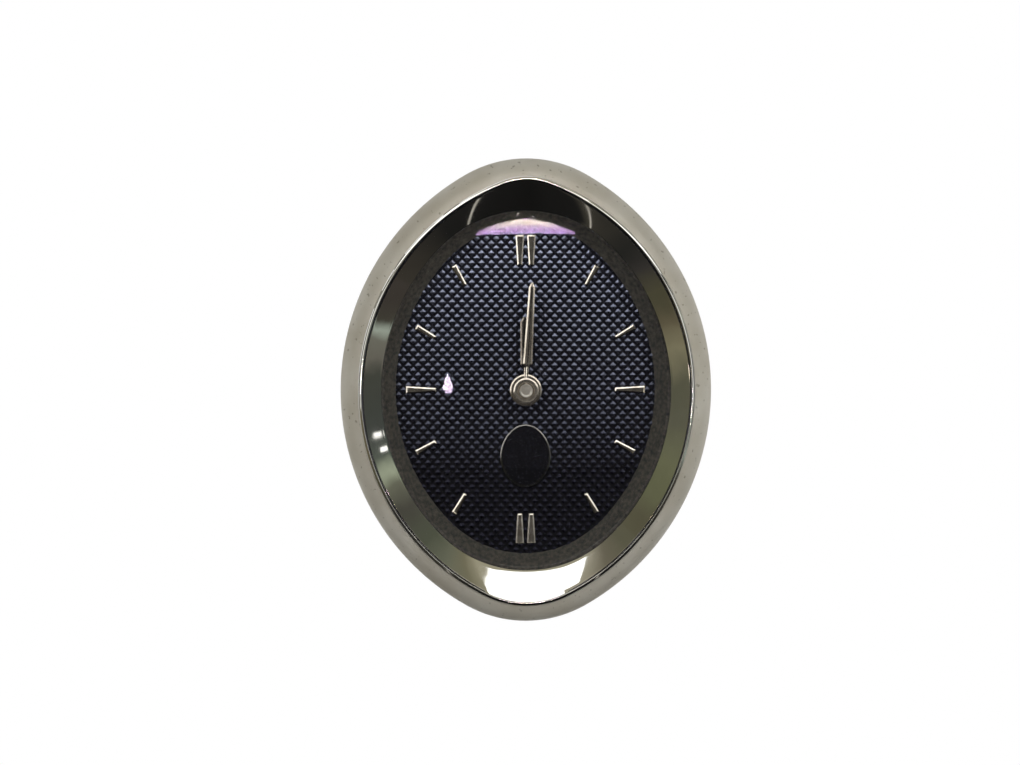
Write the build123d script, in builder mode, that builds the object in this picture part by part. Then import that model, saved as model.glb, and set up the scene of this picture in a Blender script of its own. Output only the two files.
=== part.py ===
from build123d import *
from math import acos, atan2, cos, degrees, pi, radians, sin, sqrt, tan
import os

# Oval analogue dashboard clock.
#
# A satin trim ring and a polished bowl frame a domed oval lens over a dark dial with applied
# hour bars. Behind the dial an oval housing holds a stepping-motor movement of six turning
# pieces, a circuit board and a rear cover with the wiring socket.
#
# X is to the right as the driver sees the dial, Z is up, and Y runs rearwards, away from the
# driver. The origin is where the axis of the hands crosses the plane of the dash panel on which
# the trim ring sits. All sizes are in millimetres.

os.makedirs("parts", exist_ok=True)

# Outline of the trim ring: two long side arcs, closed by two tighter end arcs. The shoulder is
# what the half width has over the radius of the end arcs, and it sets how pointed the oval is.
overall_width = 80.0
overall_height = 100.0
trim_shoulder = 13.9

# Trim ring
lip_projection = 8.0
lip_stand = 0.8
trim_wall = 1.8
trim_skirt_height = 3.4
trim_bore_inset = 3.9
trim_bore_land = 1.8
trim_crown_bulge = 0.45
trim_inner_skirt_height = 2.4

# Polished bowl
lip_outer_inset = 3.7
lip_width = 1.2
lip_round = 0.45
lip_height = 0.7
collar_gap = 0.1
collar_depth = 2.2
bowl_depth = 3.6
bowl_side_run = 3.9
bowl_end_run = 6.3
opening_shoulder = 5.55
ledge_thickness = 0.8
skirt_wall = 1.5
pocket_gap = 0.1
trim_room_gap = 0.3

# Stack of parts clamped behind the ledge of the bowl
seat_width = 0.8
gasket_thickness = 0.4
lens_rise = 3.0
lens_thickness = 1.5
lens_dome_inset = 0.3
mask_depth = 2.9
mask_inset = 3.0
mask_front_inset = 0.4
dial_thickness = 0.8
guide_thickness = 2.0

# Screws that hold the clock in the dash, and the housing to the bowl
dash_screw_angle = 58.0
dash_boss_radius = 2.3
dash_boss_overlap = 0.7
dash_pilot_radius = 1.1
case_screw_angle = 22.0
case_boss_radius = 2.4
case_boss_overlap = 0.9
case_pilot_radius = 1.0
pilot_tip_wall = 0.6
screw_clearance = 0.25
shank_gap = 0.02
screw_head_radius = 2.2
screw_head_height = 1.3

# Hour bars, blank medallion and their seats in the dial
bar_edge_gap = 2.2
bar_height = 0.7
bar_draft = 14.0
hour_bar_length = 4.8
hour_bar_inner_width = 0.75
hour_bar_outer_width = 1.15
quarter_bar_length = 6.5
side_bar_inner_width = 0.8
side_bar_outer_width = 1.6
twin_bar_inner_width = 1.05
twin_bar_outer_width = 1.85
twin_bar_pitch = 2.5
bar_foot_radius = 0.35
foot_gap = 0.05
medallion_drop = 14.5
medallion_half_width = 5.9
medallion_half_height = 7.0
medallion_shoulder = 1.3
medallion_thickness = 0.5
medallion_recess = 0.3

# Hands and the arbors that carry them
running_gap = 0.05
press_gap = 0.02
minute_rest_angle = 3.2
minute_length = 23.4
minute_blade_start = 5.8
minute_base_width = 2.0
minute_mid_width = 1.65
minute_hub_radius = 2.75
minute_hub_height = 1.2
hour_rest_angle = -1.5
hour_length = 15.9
hour_blade_start = 5.6
hour_base_width = 2.0
hour_mid_width = 1.8
hour_hub_radius = 3.45
hour_hub_height = 1.1
hand_neck_width = 0.5
hand_point_width = 0.9
hand_thickness = 0.25
hand_crown = 0.25
hand_crown_draft = 30.0
hand_plane_offset = 0.4
hour_hub_standoff = 1.2
hub_spacing = 0.6
hub_recess_radius = 1.75
hub_recess_depth = 0.3
button_radius = 1.45
button_height = 0.6
arbor_radius = 0.75
cannon_radius = 1.2
hour_tube_wall = 0.65
dial_hole_gap = 0.3

# Gear train: tooth counts, modules and face widths
pressure_angle = 30.0
addendum = 0.9
dedendum = 1.1
backlash = 0.06
going_module = 0.3
motion_module = 0.25
centre_teeth = 64
third_pinion_teeth = 8
third_teeth = 60
rotor_teeth = 8
cannon_teeth = 12
motion_teeth = 36
motion_pinion_teeth = 10
hour_teeth = 40
third_x = -4.0
rotor_x = 0.0
motion_angle = 45.0
wheel_width = 0.8
pivot_radius = 0.4
staff_radius = 0.6
wheel_window_count = 5

# Movement frame
plate_thickness = 1.2
plate_corner = 3.2
pillar_x = 13.0
pillar_z = 8.0
low_pillar_x = 9.0
low_pillar_z = -11.0
pillar_radius = 2.0
bridge_margin = 2.8
bridge_thickness = 1.0
bridge_gap = 6.4
frame_pilot_radius = 0.7
peg_radius = 1.0
peg_x = 14.0
peg_z = -12.0
peg_height = 0.6

# Stepping motor
magnet_radius = 3.0
magnet_length = 2.8
magnet_air_gap = 0.4
stator_thickness = 1.5
stator_ring = 1.8
stator_bar_height = 4.4
stator_leg_width = 5.0
stator_gap = 1.8
notch_radius = 0.45
coil_drop = 8.6
core_height = 2.4
core_thickness = 1.2
bobbin_length = 20.0
bobbin_end_gap = 0.5
bobbin_flange_radius = 3.7
bobbin_flange_thickness = 0.8
bobbin_tube_radius = 2.0
winding_radius = 3.3
terminal_radius = 0.35
terminal_spacing = 3.0

# Housing, circuit board and rear cover
housing_floor = 1.6
housing_wall = 1.6
housing_inset = 0.2
board_thickness = 1.6
board_gap = 9.2
board_lap = 0.6
cover_depth = 6.6
cover_round = 2.0
cover_lug_angle = 44.0
cover_lug_radius = 3.4
cover_lug_length = 5.0
cover_flange = 2.6
cover_pilot_depth = 4.2
rib_width = 1.0
rib_height = 0.7
rib_pitch = 7.0
pad_radius = 9.0
pipe_x = 20.0
pipe_z = 13.0
pipe_radius = 1.8
pipe_hole_gap = 0.3
lamp_width = 3.0
lamp_height = 1.6
lamp_air_gap = 0.3

# Wiring socket
socket_z = 17.0
socket_width = 16.0
socket_height = 9.0
socket_wall = 1.5
socket_length = 7.0
pin_count = 4
pin_pitch = 3.5
pin_size = 0.7
pin_drop = 1.4
pin_reach = 3.8
pin_tail = 0.8
header_height = 3.0
header_gap = 0.4

# Depth of each layer behind the dash seat, front to rear
lip_crest = -lip_projection
ledge_front = lip_crest + bowl_depth
ledge_back = ledge_front + ledge_thickness
rim_front = ledge_back + gasket_thickness
rim_back = rim_front + lens_thickness
dial_front = rim_back + mask_depth
dial_back = dial_front + dial_thickness
housing_front = dial_back + guide_thickness
floor_back = housing_front + housing_floor
plate_back = floor_back + plate_thickness
bridge_front = plate_back + bridge_gap
bridge_back = bridge_front + bridge_thickness
board_front = plate_back + board_gap
board_back = board_front + board_thickness
cover_back = board_front + cover_depth
cover_floor = cover_back - housing_wall
socket_back = cover_back + socket_length

hour_hub_back = dial_front - hour_hub_standoff
hour_hub_front = hour_hub_back - hour_hub_height
minute_hub_back = hour_hub_front - hub_spacing
minute_hub_front = minute_hub_back - minute_hub_height
arbor_front = minute_hub_front + hub_recess_depth

# Depth of each wheel behind the movement plate
hour_wheel_front = plate_back + 0.3
motion_pinion_front = plate_back + 0.2
cannon_pinion_front = hour_wheel_front + wheel_width + 0.1
motion_wheel_front = cannon_pinion_front + 0.2
motion_wheel_width = wheel_width - 0.1
cannon_pinion_width = wheel_width + 0.4
centre_wheel_front = cannon_pinion_front + cannon_pinion_width + 0.6
pinion_overhang = 0.3
third_wheel_front = centre_wheel_front + 2 * wheel_width
magnet_front = centre_wheel_front - 1.8
stator_front = plate_back + stator_gap
stator_back = stator_front + stator_thickness
core_back = stator_back + core_thickness
coil_y = stator_back + core_thickness / 2

# The glass opening, and the track of the bars' outer ends
opening_width = overall_width - 2 * (lip_outer_inset + lip_width + bowl_side_run)
opening_height = overall_height - 2 * (lip_outer_inset + lip_width + bowl_end_run)
track_half_width = opening_width / 2 - mask_inset - bar_edge_gap
track_half_height = opening_height / 2 - mask_inset - bar_edge_gap

# Derived radii
hour_tube_bore = cannon_radius + running_gap
hour_tube_radius = hour_tube_bore + hour_tube_wall
collar_inset = trim_bore_inset + collar_gap
stator_leg_x = bobbin_length / 2 + bobbin_end_gap + stator_leg_width / 2
skirt_growth = seat_width + pocket_gap + skirt_wall

# Plane of a face seen from the driver's side, at this distance behind the dash seat
def level(depth, height=0):
    return Plane(origin=(0, depth, height), x_dir=(1, 0, 0), z_dir=(0, -1, 0))


# Planes facing rearwards at the given X and Z, for bosses, screws and holes met from behind
def rear_spots(points, depth):
    return [Plane(origin=(x, depth, z), x_dir=(1, 0, 0), z_dir=(0, 1, 0)) for x, z in points]


# The arcs of an oval: radius and offset of the side arcs, the same of the end arcs, and the
# angle above the middle at which a side arc meets an end arc without a corner
def oval_parts(half_width, half_height, shoulder):
    end_radius = half_width - shoulder
    side_radius = (half_width**2 + half_height**2 - 2 * half_height * end_radius) / (2 * shoulder)
    side_shift = side_radius - half_width
    end_shift = half_height - end_radius
    return side_radius, side_shift, end_radius, end_shift, degrees(atan2(end_shift, side_shift))


# The four tangent arcs of an oval, drawn counter-clockwise from the lower right
def oval_arcs(half_width, half_height, shoulder):
    side_radius, side_shift, end_radius, end_shift, join = oval_parts(
        half_width, half_height, shoulder
    )
    CenterArc((-side_shift, 0), side_radius, -join, 2 * join)
    CenterArc((0, end_shift), end_radius, join, 180 - 2 * join)
    CenterArc((side_shift, 0), side_radius, 180 - join, 2 * join)
    CenterArc((0, -end_shift), end_radius, 180 + join, 180 - 2 * join)


def draw_oval(half_width, half_height, shoulder, mode=Mode.ADD):
    with BuildLine() as outline:
        oval_arcs(half_width, half_height, shoulder)
    make_face(outline.edges(), mode=mode)


# An oval parallel to the outer edge of the trim ring, this far inside it
def trim_oval(inset, mode=Mode.ADD):
    draw_oval(overall_width / 2 - inset, overall_height / 2 - inset, trim_shoulder, mode)


# An oval parallel to the edge of the glass opening, this far outside it
def glass_oval(growth, mode=Mode.ADD):
    draw_oval(opening_width / 2 + growth, opening_height / 2 + growth, opening_shoulder, mode)


# Distance from the centre to an oval, in a direction measured clockwise from the top
def oval_reach(half_width, half_height, shoulder, angle):
    side_radius, side_shift, end_radius, end_shift, _ = oval_parts(
        half_width, half_height, shoulder
    )
    across, up = abs(sin(radians(angle))), abs(cos(radians(angle)))
    side = -side_shift * across + sqrt(side_radius**2 - (side_shift * up) ** 2)
    end = end_shift * up + sqrt(max(end_radius**2 - (end_shift * across) ** 2, 0))
    beyond_join = side * up / (side * across + side_shift) > end_shift / side_shift
    return end if beyond_join else side


# Distance from the centre to an ellipse, in a direction measured clockwise from the top
def ellipse_reach(half_width, half_height, angle):
    across, up = sin(radians(angle)), cos(radians(angle))
    return 1 / sqrt((across / half_width) ** 2 + (up / half_height) ** 2)


# The four points at this angle from the vertical, one in each quarter, at this distance
def four_corners(angle, distance):
    x, z = distance * sin(radians(angle)), distance * cos(radians(angle))
    return [(x, z), (-x, z), (x, -z), (-x, -z)]


# Straight-sided outline of a spur gear with involute flanks, one tooth centred on the phase
def gear_points(teeth, module, phase):
    pitch_radius = module * teeth / 2
    base_radius = pitch_radius * cos(radians(pressure_angle))
    tip_radius = pitch_radius + addendum * module
    root_radius = pitch_radius - dedendum * module
    half_tooth = pi / (2 * teeth) - backlash / (4 * pitch_radius)
    spread = tan(radians(pressure_angle)) - radians(pressure_angle)
    flank = []
    for radius in (root_radius, max(root_radius, base_radius), pitch_radius, tip_radius):
        roll = acos(min(1.0, base_radius / radius))
        flank.append((radius, half_tooth + spread - tan(roll) + roll))
    if root_radius >= base_radius:
        flank.pop(1)
    points = []
    for tooth in range(teeth):
        centre = radians(phase) + 2 * pi * tooth / teeth
        outline = [(r, -a) for r, a in flank] + [(r, a) for r, a in reversed(flank)]
        points += [(r * cos(centre + a), r * sin(centre + a)) for r, a in outline]
    return points


# Phase at which a gear's gap faces a tooth of the gear that drives it
def meshing_phase(driver_teeth, driver_phase, teeth, driver_centre, centre):
    line = degrees(atan2(centre[1] - driver_centre[1], centre[0] - driver_centre[0]))
    turned = driver_teeth / teeth * (driver_phase - line)
    return line + 180 - turned + 180 / teeth


# Add one toothed rim to the gear being built
def add_gear(teeth, module, phase, centre, front, width):
    with BuildSketch(level(front)) as teeth_outline:
        with Locations(centre):
            Polygon(*gear_points(teeth, module, phase), align=None)
    extrude(teeth_outline.sketch, amount=-width)


# Add one round length of a shaft or tube to the piece being built
def add_round(radius, centre, front, back, mode=Mode.ADD):
    with BuildSketch(level(front)) as disc:
        with Locations(centre):
            Circle(radius)
    extrude(disc.sketch, amount=front - back, mode=mode)


# Cut the ring of round windows that lightens a wheel
def cut_windows(radius, orbit, centre, front, width):
    with BuildSketch(level(front)) as windows:
        with Locations(centre):
            with PolarLocations(orbit, wheel_window_count):
                Circle(radius)
    extrude(windows.sketch, amount=-width, mode=Mode.SUBTRACT)


# Pan-head cross-recess screws driven forwards, one at each point, as separate solids
def pan_head_screws(points, seat, shank_radius, shank_length, head_radius, head_height):
    with BuildPart() as screws:
        with Locations(*rear_spots(points, seat)):
            Cylinder(head_radius, head_height, align=(Align.CENTER, Align.CENTER, Align.MIN))
            Cylinder(shank_radius, shank_length, align=(Align.CENTER, Align.CENTER, Align.MAX))
        rims = screws.edges().filter_by(GeomType.CIRCLE).group_by(Axis.Y)[-1]
        chamfer(rims, head_height * 0.4, head_radius * 0.4)
        slot = (head_radius, head_radius * 0.25, head_height)
        with Locations(*rear_spots(points, seat + head_height)):
            Box(*slot, mode=Mode.SUBTRACT)
            Box(slot[1], slot[0], slot[2], mode=Mode.SUBTRACT)
    return screws


# Plane across the trim outline at the start of its path: x runs inwards, y runs forwards
def trim_section(path):
    tangent = path.wire() % 0
    inward = Vector(0, 1, 0).cross(tangent)
    if inward.dot(path.wire() @ 0) > 0:
        inward = -inward
    return Plane(origin=path.wire() @ 0, x_dir=inward, z_dir=tangent)


# Centres of the turning pieces, and the phases that put them in mesh
centre = (0.0, 0.0)
third_distance = going_module * (centre_teeth + third_pinion_teeth) / 2
rotor_distance = going_module * (third_teeth + rotor_teeth) / 2
motion_distance = motion_module * (cannon_teeth + motion_teeth) / 2
hour_module = 2 * motion_distance / (motion_pinion_teeth + hour_teeth)
third_centre = (third_x, -sqrt(third_distance**2 - third_x**2))
rotor_centre = (rotor_x, third_centre[1] - sqrt(rotor_distance**2 - (rotor_x - third_x) ** 2))
motion_centre = (
    motion_distance * cos(radians(motion_angle)),
    motion_distance * sin(radians(motion_angle)),
)
third_pinion_phase = meshing_phase(centre_teeth, 0, third_pinion_teeth, centre, third_centre)
rotor_phase = meshing_phase(third_teeth, 0, rotor_teeth, third_centre, rotor_centre)
motion_phase = meshing_phase(cannon_teeth, 0, motion_teeth, centre, motion_centre)
hour_phase = meshing_phase(motion_pinion_teeth, 0, hour_teeth, motion_centre, centre)
coil_z = rotor_centre[1] - coil_drop

# Screw positions, each seated against the outline beside it
trim_sizes = (overall_width / 2, overall_height / 2, trim_shoulder)
opening_sizes = (opening_width / 2, opening_height / 2, opening_shoulder)
crown_front = lip_projection - lip_stand
dash_screw_distance = (
    oval_reach(*opening_sizes, dash_screw_angle) + skirt_growth + dash_boss_radius
    - dash_boss_overlap
)
dash_screws = four_corners(dash_screw_angle, dash_screw_distance)
case_screw_distance = (
    oval_reach(*opening_sizes, case_screw_angle) + skirt_growth + case_boss_radius
    - case_boss_overlap
)
case_screw_spots = four_corners(case_screw_angle, case_screw_distance)
cover_screw_distance = (
    oval_reach(*opening_sizes, cover_lug_angle) - housing_inset + screw_head_radius
    + screw_clearance
)
cover_screw_spots = four_corners(cover_lug_angle, cover_screw_distance)


# Height free for a boss under the sloping inner face of the trim ring
def boss_room(angle, reach):
    inset = oval_reach(*trim_sizes, angle) - reach
    slope = (crown_front - trim_bore_land - trim_inner_skirt_height) / (trim_bore_inset - trim_wall)
    return trim_inner_skirt_height + slope * (inset - trim_wall) - trim_room_gap


dash_boss_height = boss_room(dash_screw_angle, dash_screw_distance + dash_boss_radius)
case_boss_height = boss_room(case_screw_angle, case_screw_distance + case_boss_radius)
dash_pilot_depth = dash_boss_height - pilot_tip_wall
case_pilot_depth = housing_front + case_boss_height - pilot_tip_wall

# Trim ring: a satin crown that falls away from the lip, hollow behind
with BuildPart() as trim_ring:
    with BuildLine(level(0)) as rim_path:
        oval_arcs(*trim_sizes)
    crown_middle = (
        trim_bore_inset / 2 - trim_crown_bulge,
        (trim_skirt_height + crown_front) / 2 + trim_crown_bulge,
    )
    with BuildSketch(trim_section(rim_path)):
        with BuildLine():
            Line((0, 0), (0, trim_skirt_height))
            ThreePointArc((0, trim_skirt_height), crown_middle, (trim_bore_inset, crown_front))
            Polyline(
                (trim_bore_inset, crown_front),
                (trim_bore_inset, crown_front - trim_bore_land),
                (trim_wall, trim_inner_skirt_height),
                (trim_wall, 0),
                (0, 0),
            )
        make_face()
    sweep(path=rim_path.wire())
trim_ring.part.label = "trim_ring"

# Bowl: bright lip, polished wall running down to the glass, and the skirt that holds the stack
with BuildPart() as bezel_bowl:
    with BuildSketch(level(lip_crest)):
        trim_oval(lip_outer_inset)
    extrude(amount=-lip_height)
    with BuildSketch(level(lip_crest + lip_height)):
        trim_oval(collar_inset)
    extrude(amount=lip_height - collar_depth)
    with BuildSketch(level(lip_crest + collar_depth)):
        trim_oval(collar_inset)
    with BuildSketch(level(ledge_back)):
        glass_oval(skirt_growth)
    loft(ruled=True)
    with BuildSketch(level(ledge_back)):
        glass_oval(skirt_growth)
    extrude(amount=ledge_back - housing_front)
    with BuildSketch(level(0)):
        with Locations(*dash_screws):
            Circle(dash_boss_radius)
    extrude(amount=dash_boss_height)
    with BuildSketch(level(housing_front)):
        with Locations(*case_screw_spots):
            Circle(case_boss_radius)
    extrude(amount=housing_front + case_boss_height)
    # The polished wall, the opening for the glass and the pocket behind it
    with BuildSketch(level(lip_crest)):
        trim_oval(lip_outer_inset + lip_width)
    with BuildSketch(level(ledge_front)):
        glass_oval(0)
    loft(ruled=True, mode=Mode.SUBTRACT)
    with BuildSketch(level(ledge_front)):
        glass_oval(0)
    extrude(amount=-ledge_thickness, mode=Mode.SUBTRACT)
    with BuildSketch(level(ledge_back)):
        glass_oval(seat_width + pocket_gap)
    extrude(amount=ledge_back - housing_front, mode=Mode.SUBTRACT)
    with Locations(*rear_spots(dash_screws, 0)):
        Hole(dash_pilot_radius, dash_pilot_depth)
    with Locations(*rear_spots(case_screw_spots, housing_front)):
        Hole(case_pilot_radius, case_pilot_depth)
    crest = bezel_bowl.edges().filter_by_position(Axis.Y, lip_crest - 0.01, lip_crest + 0.01)
    fillet(crest, lip_round)
bezel_bowl.part.label = "bezel_bowl"

# Gasket between the ledge and the rim of the lens
with BuildPart() as lens_gasket:
    with BuildSketch(level(ledge_back)):
        glass_oval(seat_width)
        glass_oval(0, mode=Mode.SUBTRACT)
    extrude(amount=-gasket_thickness)
lens_gasket.part.label = "lens_gasket"


# Solid behind a dome that curves one way across the glass and another way down it
def add_dome_body(apex, width_radius, height_radius, mode):
    reach = opening_height / 2 + seat_width
    edge = apex + height_radius - sqrt(height_radius**2 - reach**2)
    spine = apex + width_radius
    with BuildSketch(Plane.YZ) as dome:
        with BuildLine() as dome_line:
            ThreePointArc((edge, -reach), (apex, 0), (edge, reach))
            Polyline((edge, reach), (spine, reach), (spine, -reach), (edge, -reach))
        make_face(dome_line.edges())
    revolve(dome.sketch, axis=Axis((0, spine, 0), (0, 0, 1)), mode=mode)


# Domed lens with a flat rim
lens_apex = rim_front - lens_rise
dome_half_width = opening_width / 2 - lens_dome_inset
dome_half_height = opening_height / 2 - lens_dome_inset
dome_width_radius = (dome_half_width**2 + lens_rise**2) / (2 * lens_rise)
dome_height_radius = (dome_half_height**2 + lens_rise**2) / (2 * lens_rise)
with BuildPart() as lens:
    with BuildSketch(level(lens_apex)):
        glass_oval(-lens_dome_inset)
    extrude(amount=lens_apex - rim_back)
    add_dome_body(lens_apex, dome_width_radius, dome_height_radius, Mode.INTERSECT)
    with BuildSketch(level(rim_front)):
        glass_oval(seat_width)
    extrude(amount=-lens_thickness)
    add_dome_body(
        lens_apex + lens_thickness,
        dome_width_radius - lens_thickness,
        dome_height_radius - lens_thickness,
        Mode.SUBTRACT,
    )
lens.part.label = "lens"

# Dark mask that narrows from the lens to the dial
with BuildPart() as mask_ring:
    with BuildSketch(level(rim_back)):
        glass_oval(seat_width)
    extrude(amount=-mask_depth)
    with BuildSketch(level(rim_back)):
        glass_oval(-mask_front_inset)
    with BuildSketch(level(dial_front)):
        glass_oval(-mask_inset)
    loft(ruled=True, mode=Mode.SUBTRACT)
mask_ring.part.label = "mask_ring"


# Each applied bar as (angle, sideways shift, length, inner width, outer width)
def bar_table():
    bars = []
    for hour in range(1, 12):
        if hour in (3, 9):
            bars.append(
                (30 * hour, 0, quarter_bar_length, side_bar_inner_width, side_bar_outer_width)
            )
        elif hour != 6:
            bars.append((30 * hour, 0, hour_bar_length, hour_bar_inner_width, hour_bar_outer_width))
    for angle in (0, 180):
        for side in (-1, 1):
            bars.append(
                (
                    angle,
                    side * twin_bar_pitch / 2,
                    quarter_bar_length,
                    twin_bar_inner_width,
                    twin_bar_outer_width,
                )
            )
    return bars


# Where a bar's outer end stands: its angle, turned from its own upright drawing
def bar_location(angle, shift):
    outer = ellipse_reach(track_half_width, track_half_height, angle)
    x = outer * sin(radians(angle)) + shift * cos(radians(angle))
    z = outer * cos(radians(angle)) - shift * sin(radians(angle))
    return Location((x, z, 0), (0, 0, -angle))


# Applied hour bars, each with a foot through the dial
with BuildPart() as hour_markers:
    with BuildSketch(level(dial_front)):
        for angle, shift, length, inner_width, outer_width in bar_table():
            with Locations(bar_location(angle, shift)):
                Polygon(
                    (-inner_width / 2, -length),
                    (inner_width / 2, -length),
                    (outer_width / 2, 0),
                    (-outer_width / 2, 0),
                    align=None,
                )
    extrude(amount=bar_height, taper=bar_draft)
    with BuildSketch(level(dial_front)):
        for angle, shift, length, *_ in bar_table():
            with Locations(bar_location(angle, shift)):
                with Locations((0, -length / 2)):
                    Circle(bar_foot_radius)
    extrude(amount=-dial_thickness)
hour_markers.part.label = "hour_markers"

# Dial plate, with the holes for the bar feet and the seat of the medallion
with BuildPart() as dial:
    with BuildSketch(level(dial_front)):
        glass_oval(seat_width)
        Circle(hour_tube_radius + dial_hole_gap, mode=Mode.SUBTRACT)
        for angle, shift, length, *_ in bar_table():
            with Locations(bar_location(angle, shift)):
                with Locations((0, -length / 2)):
                    Circle(bar_foot_radius + foot_gap, mode=Mode.SUBTRACT)
    extrude(amount=-dial_thickness)
    with BuildSketch(level(dial_front, -medallion_drop)):
        draw_oval(
            medallion_half_width + foot_gap, medallion_half_height + foot_gap, medallion_shoulder
        )
    extrude(amount=-medallion_recess, mode=Mode.SUBTRACT)
dial.part.label = "dial"

# Blank medallion, let into the dial below the hands
with BuildPart() as dial_medallion:
    with BuildSketch(level(dial_front + medallion_recess, -medallion_drop)):
        draw_oval(medallion_half_width, medallion_half_height, medallion_shoulder)
    extrude(amount=medallion_thickness)
    chamfer(dial_medallion.faces().sort_by(Axis.Y)[0].edges(), 0.15)
dial_medallion.part.label = "dial_medallion"

# Clear light guide behind the dial, with a pipe to each lamp
pipe_back = board_front - lamp_height - lamp_air_gap
pipe_spots = [(x, z) for x in (pipe_x, -pipe_x) for z in (pipe_z, -pipe_z)]
with BuildPart() as light_guide:
    with BuildSketch(level(dial_back)):
        glass_oval(seat_width)
        Circle(hour_tube_radius + 2 * dial_hole_gap, mode=Mode.SUBTRACT)
    extrude(amount=-guide_thickness)
    with BuildSketch(level(housing_front)):
        with Locations(*pipe_spots):
            Circle(pipe_radius)
    extrude(amount=housing_front - pipe_back)
light_guide.part.label = "light_guide"

# Front housing: a floor that closes the stack, a wall round the movement, ears and lugs
with BuildPart() as front_housing:
    with BuildSketch(level(housing_front)):
        glass_oval(skirt_growth)
        with Locations(*case_screw_spots):
            Circle(case_boss_radius)
    extrude(amount=-housing_floor)
    with BuildSketch(level(floor_back)):
        glass_oval(-housing_inset)
        glass_oval(-housing_inset - housing_wall, mode=Mode.SUBTRACT)
    extrude(amount=floor_back - board_front)
    with BuildSketch(level(board_front)):
        with Locations(*cover_screw_spots):
            Circle(cover_lug_radius)
        glass_oval(-housing_inset - housing_wall, mode=Mode.SUBTRACT)
    extrude(amount=cover_lug_length)
    with BuildSketch(level(floor_back)):
        with Locations((peg_x, peg_z), (-peg_x, peg_z)):
            Circle(peg_radius)
    extrude(amount=-plate_thickness - peg_height)
    with Locations(*rear_spots([centre], floor_back)):
        Hole(hour_tube_radius + 2 * dial_hole_gap)
    with Locations(*rear_spots(pipe_spots, floor_back)):
        Hole(pipe_radius + pipe_hole_gap, housing_floor)
    with Locations(*rear_spots(case_screw_spots, floor_back)):
        Hole(case_pilot_radius + screw_clearance, housing_floor)
    with Locations(*rear_spots(cover_screw_spots, board_front)):
        Hole(case_pilot_radius, cover_pilot_depth)
front_housing.part.label = "front_housing"

# Movement plate, with pillars for the bridge, posts for the motor and the motion wheel's stud
pillars = [(-pillar_x, pillar_z), (pillar_x, pillar_z), (low_pillar_x, low_pillar_z)]
motor_posts = [(-stator_leg_x, coil_z), (stator_leg_x, coil_z)]
plate_width = 2 * max(pillar_x, stator_leg_x) + 2 * plate_corner
plate_top = pillar_z + plate_corner
plate_bottom = coil_z - plate_corner
with BuildPart() as movement_plate:
    with BuildSketch(level(floor_back)):
        with Locations((0, (plate_top + plate_bottom) / 2)):
            RectangleRounded(plate_width, plate_top - plate_bottom, plate_corner * 0.95)
    extrude(amount=-plate_thickness)
    with BuildSketch(level(plate_back)):
        with Locations(*pillars):
            Circle(pillar_radius)
    extrude(amount=-bridge_gap)
    with BuildSketch(level(plate_back)):
        with Locations(*motor_posts):
            Circle(pillar_radius)
    extrude(amount=-stator_gap)
    add_round(staff_radius, motion_centre, plate_back, centre_wheel_front - 0.3)
    with Locations(*rear_spots([centre], plate_back)):
        Hole(hour_tube_radius + running_gap, plate_thickness)
    with Locations(*rear_spots([third_centre, rotor_centre], plate_back)):
        Hole(pivot_radius + running_gap, plate_thickness)
    with Locations(*rear_spots([(peg_x, peg_z), (-peg_x, peg_z)], plate_back)):
        Hole(peg_radius + press_gap, plate_thickness)
    with Locations(*rear_spots(pillars, bridge_front)):
        Hole(frame_pilot_radius, bridge_gap - 1)
    with Locations(*rear_spots(motor_posts, stator_front)):
        Hole(frame_pilot_radius, stator_gap + plate_thickness - 0.4)
movement_plate.part.label = "movement_plate"

# Bridge that carries the rear pivots
with BuildPart() as movement_bridge:
    with BuildSketch(level(bridge_front)):
        with Locations(*pillars, rotor_centre):
            Circle(bridge_margin)
        make_hull()
    extrude(amount=-bridge_thickness)
    with Locations(*rear_spots([centre, third_centre, rotor_centre], bridge_back)):
        Hole(pivot_radius + running_gap, bridge_thickness)
    with Locations(*rear_spots(pillars, bridge_back)):
        Hole(frame_pilot_radius + 0.15, bridge_thickness)
movement_bridge.part.label = "movement_bridge"

# Centre wheel on the minute arbor
pivot_shoulder = bridge_front - 0.4
with BuildPart() as centre_wheel:
    add_gear(centre_teeth, going_module, 0, centre, centre_wheel_front, wheel_width)
    wheel_rim = going_module * centre_teeth / 2
    cut_windows(wheel_rim * 0.24, wheel_rim * 0.56, centre, centre_wheel_front, wheel_width)
    add_round(arbor_radius, centre, arbor_front, pivot_shoulder)
    add_round(
        arbor_radius * 2, centre, centre_wheel_front - 0.4, centre_wheel_front + wheel_width + 0.4
    )
    add_round(pivot_radius, centre, pivot_shoulder, bridge_back - 0.1)
centre_wheel.part.label = "centre_wheel"

# Cannon pinion, pressed on the arbor and carrying the minute hand
with BuildPart() as cannon_pinion:
    add_gear(cannon_teeth, motion_module, 0, centre, cannon_pinion_front, cannon_pinion_width)
    cannon_back = cannon_pinion_front + cannon_pinion_width
    add_round(cannon_radius, centre, arbor_front, cannon_back)
    add_round(arbor_radius + press_gap, centre, arbor_front, cannon_back, Mode.SUBTRACT)
cannon_pinion.part.label = "cannon_pinion"

# Motion wheel and its pinion, turning on the plate's stud
motion_wheel_back = motion_wheel_front + motion_wheel_width
with BuildPart() as motion_wheel:
    add_gear(
        motion_teeth, motion_module, motion_phase, motion_centre, motion_wheel_front,
        motion_wheel_width,
    )
    wheel_rim = motion_module * motion_teeth / 2
    cut_windows(
        wheel_rim * 0.17, wheel_rim * 0.56, motion_centre, motion_wheel_front, motion_wheel_width
    )
    add_gear(
        motion_pinion_teeth, hour_module, 0, motion_centre, motion_pinion_front,
        motion_wheel_front - motion_pinion_front,
    )
    add_round(
        staff_radius + running_gap, motion_centre, motion_pinion_front, motion_wheel_back,
        Mode.SUBTRACT,
    )
motion_wheel.part.label = "motion_wheel"

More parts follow.
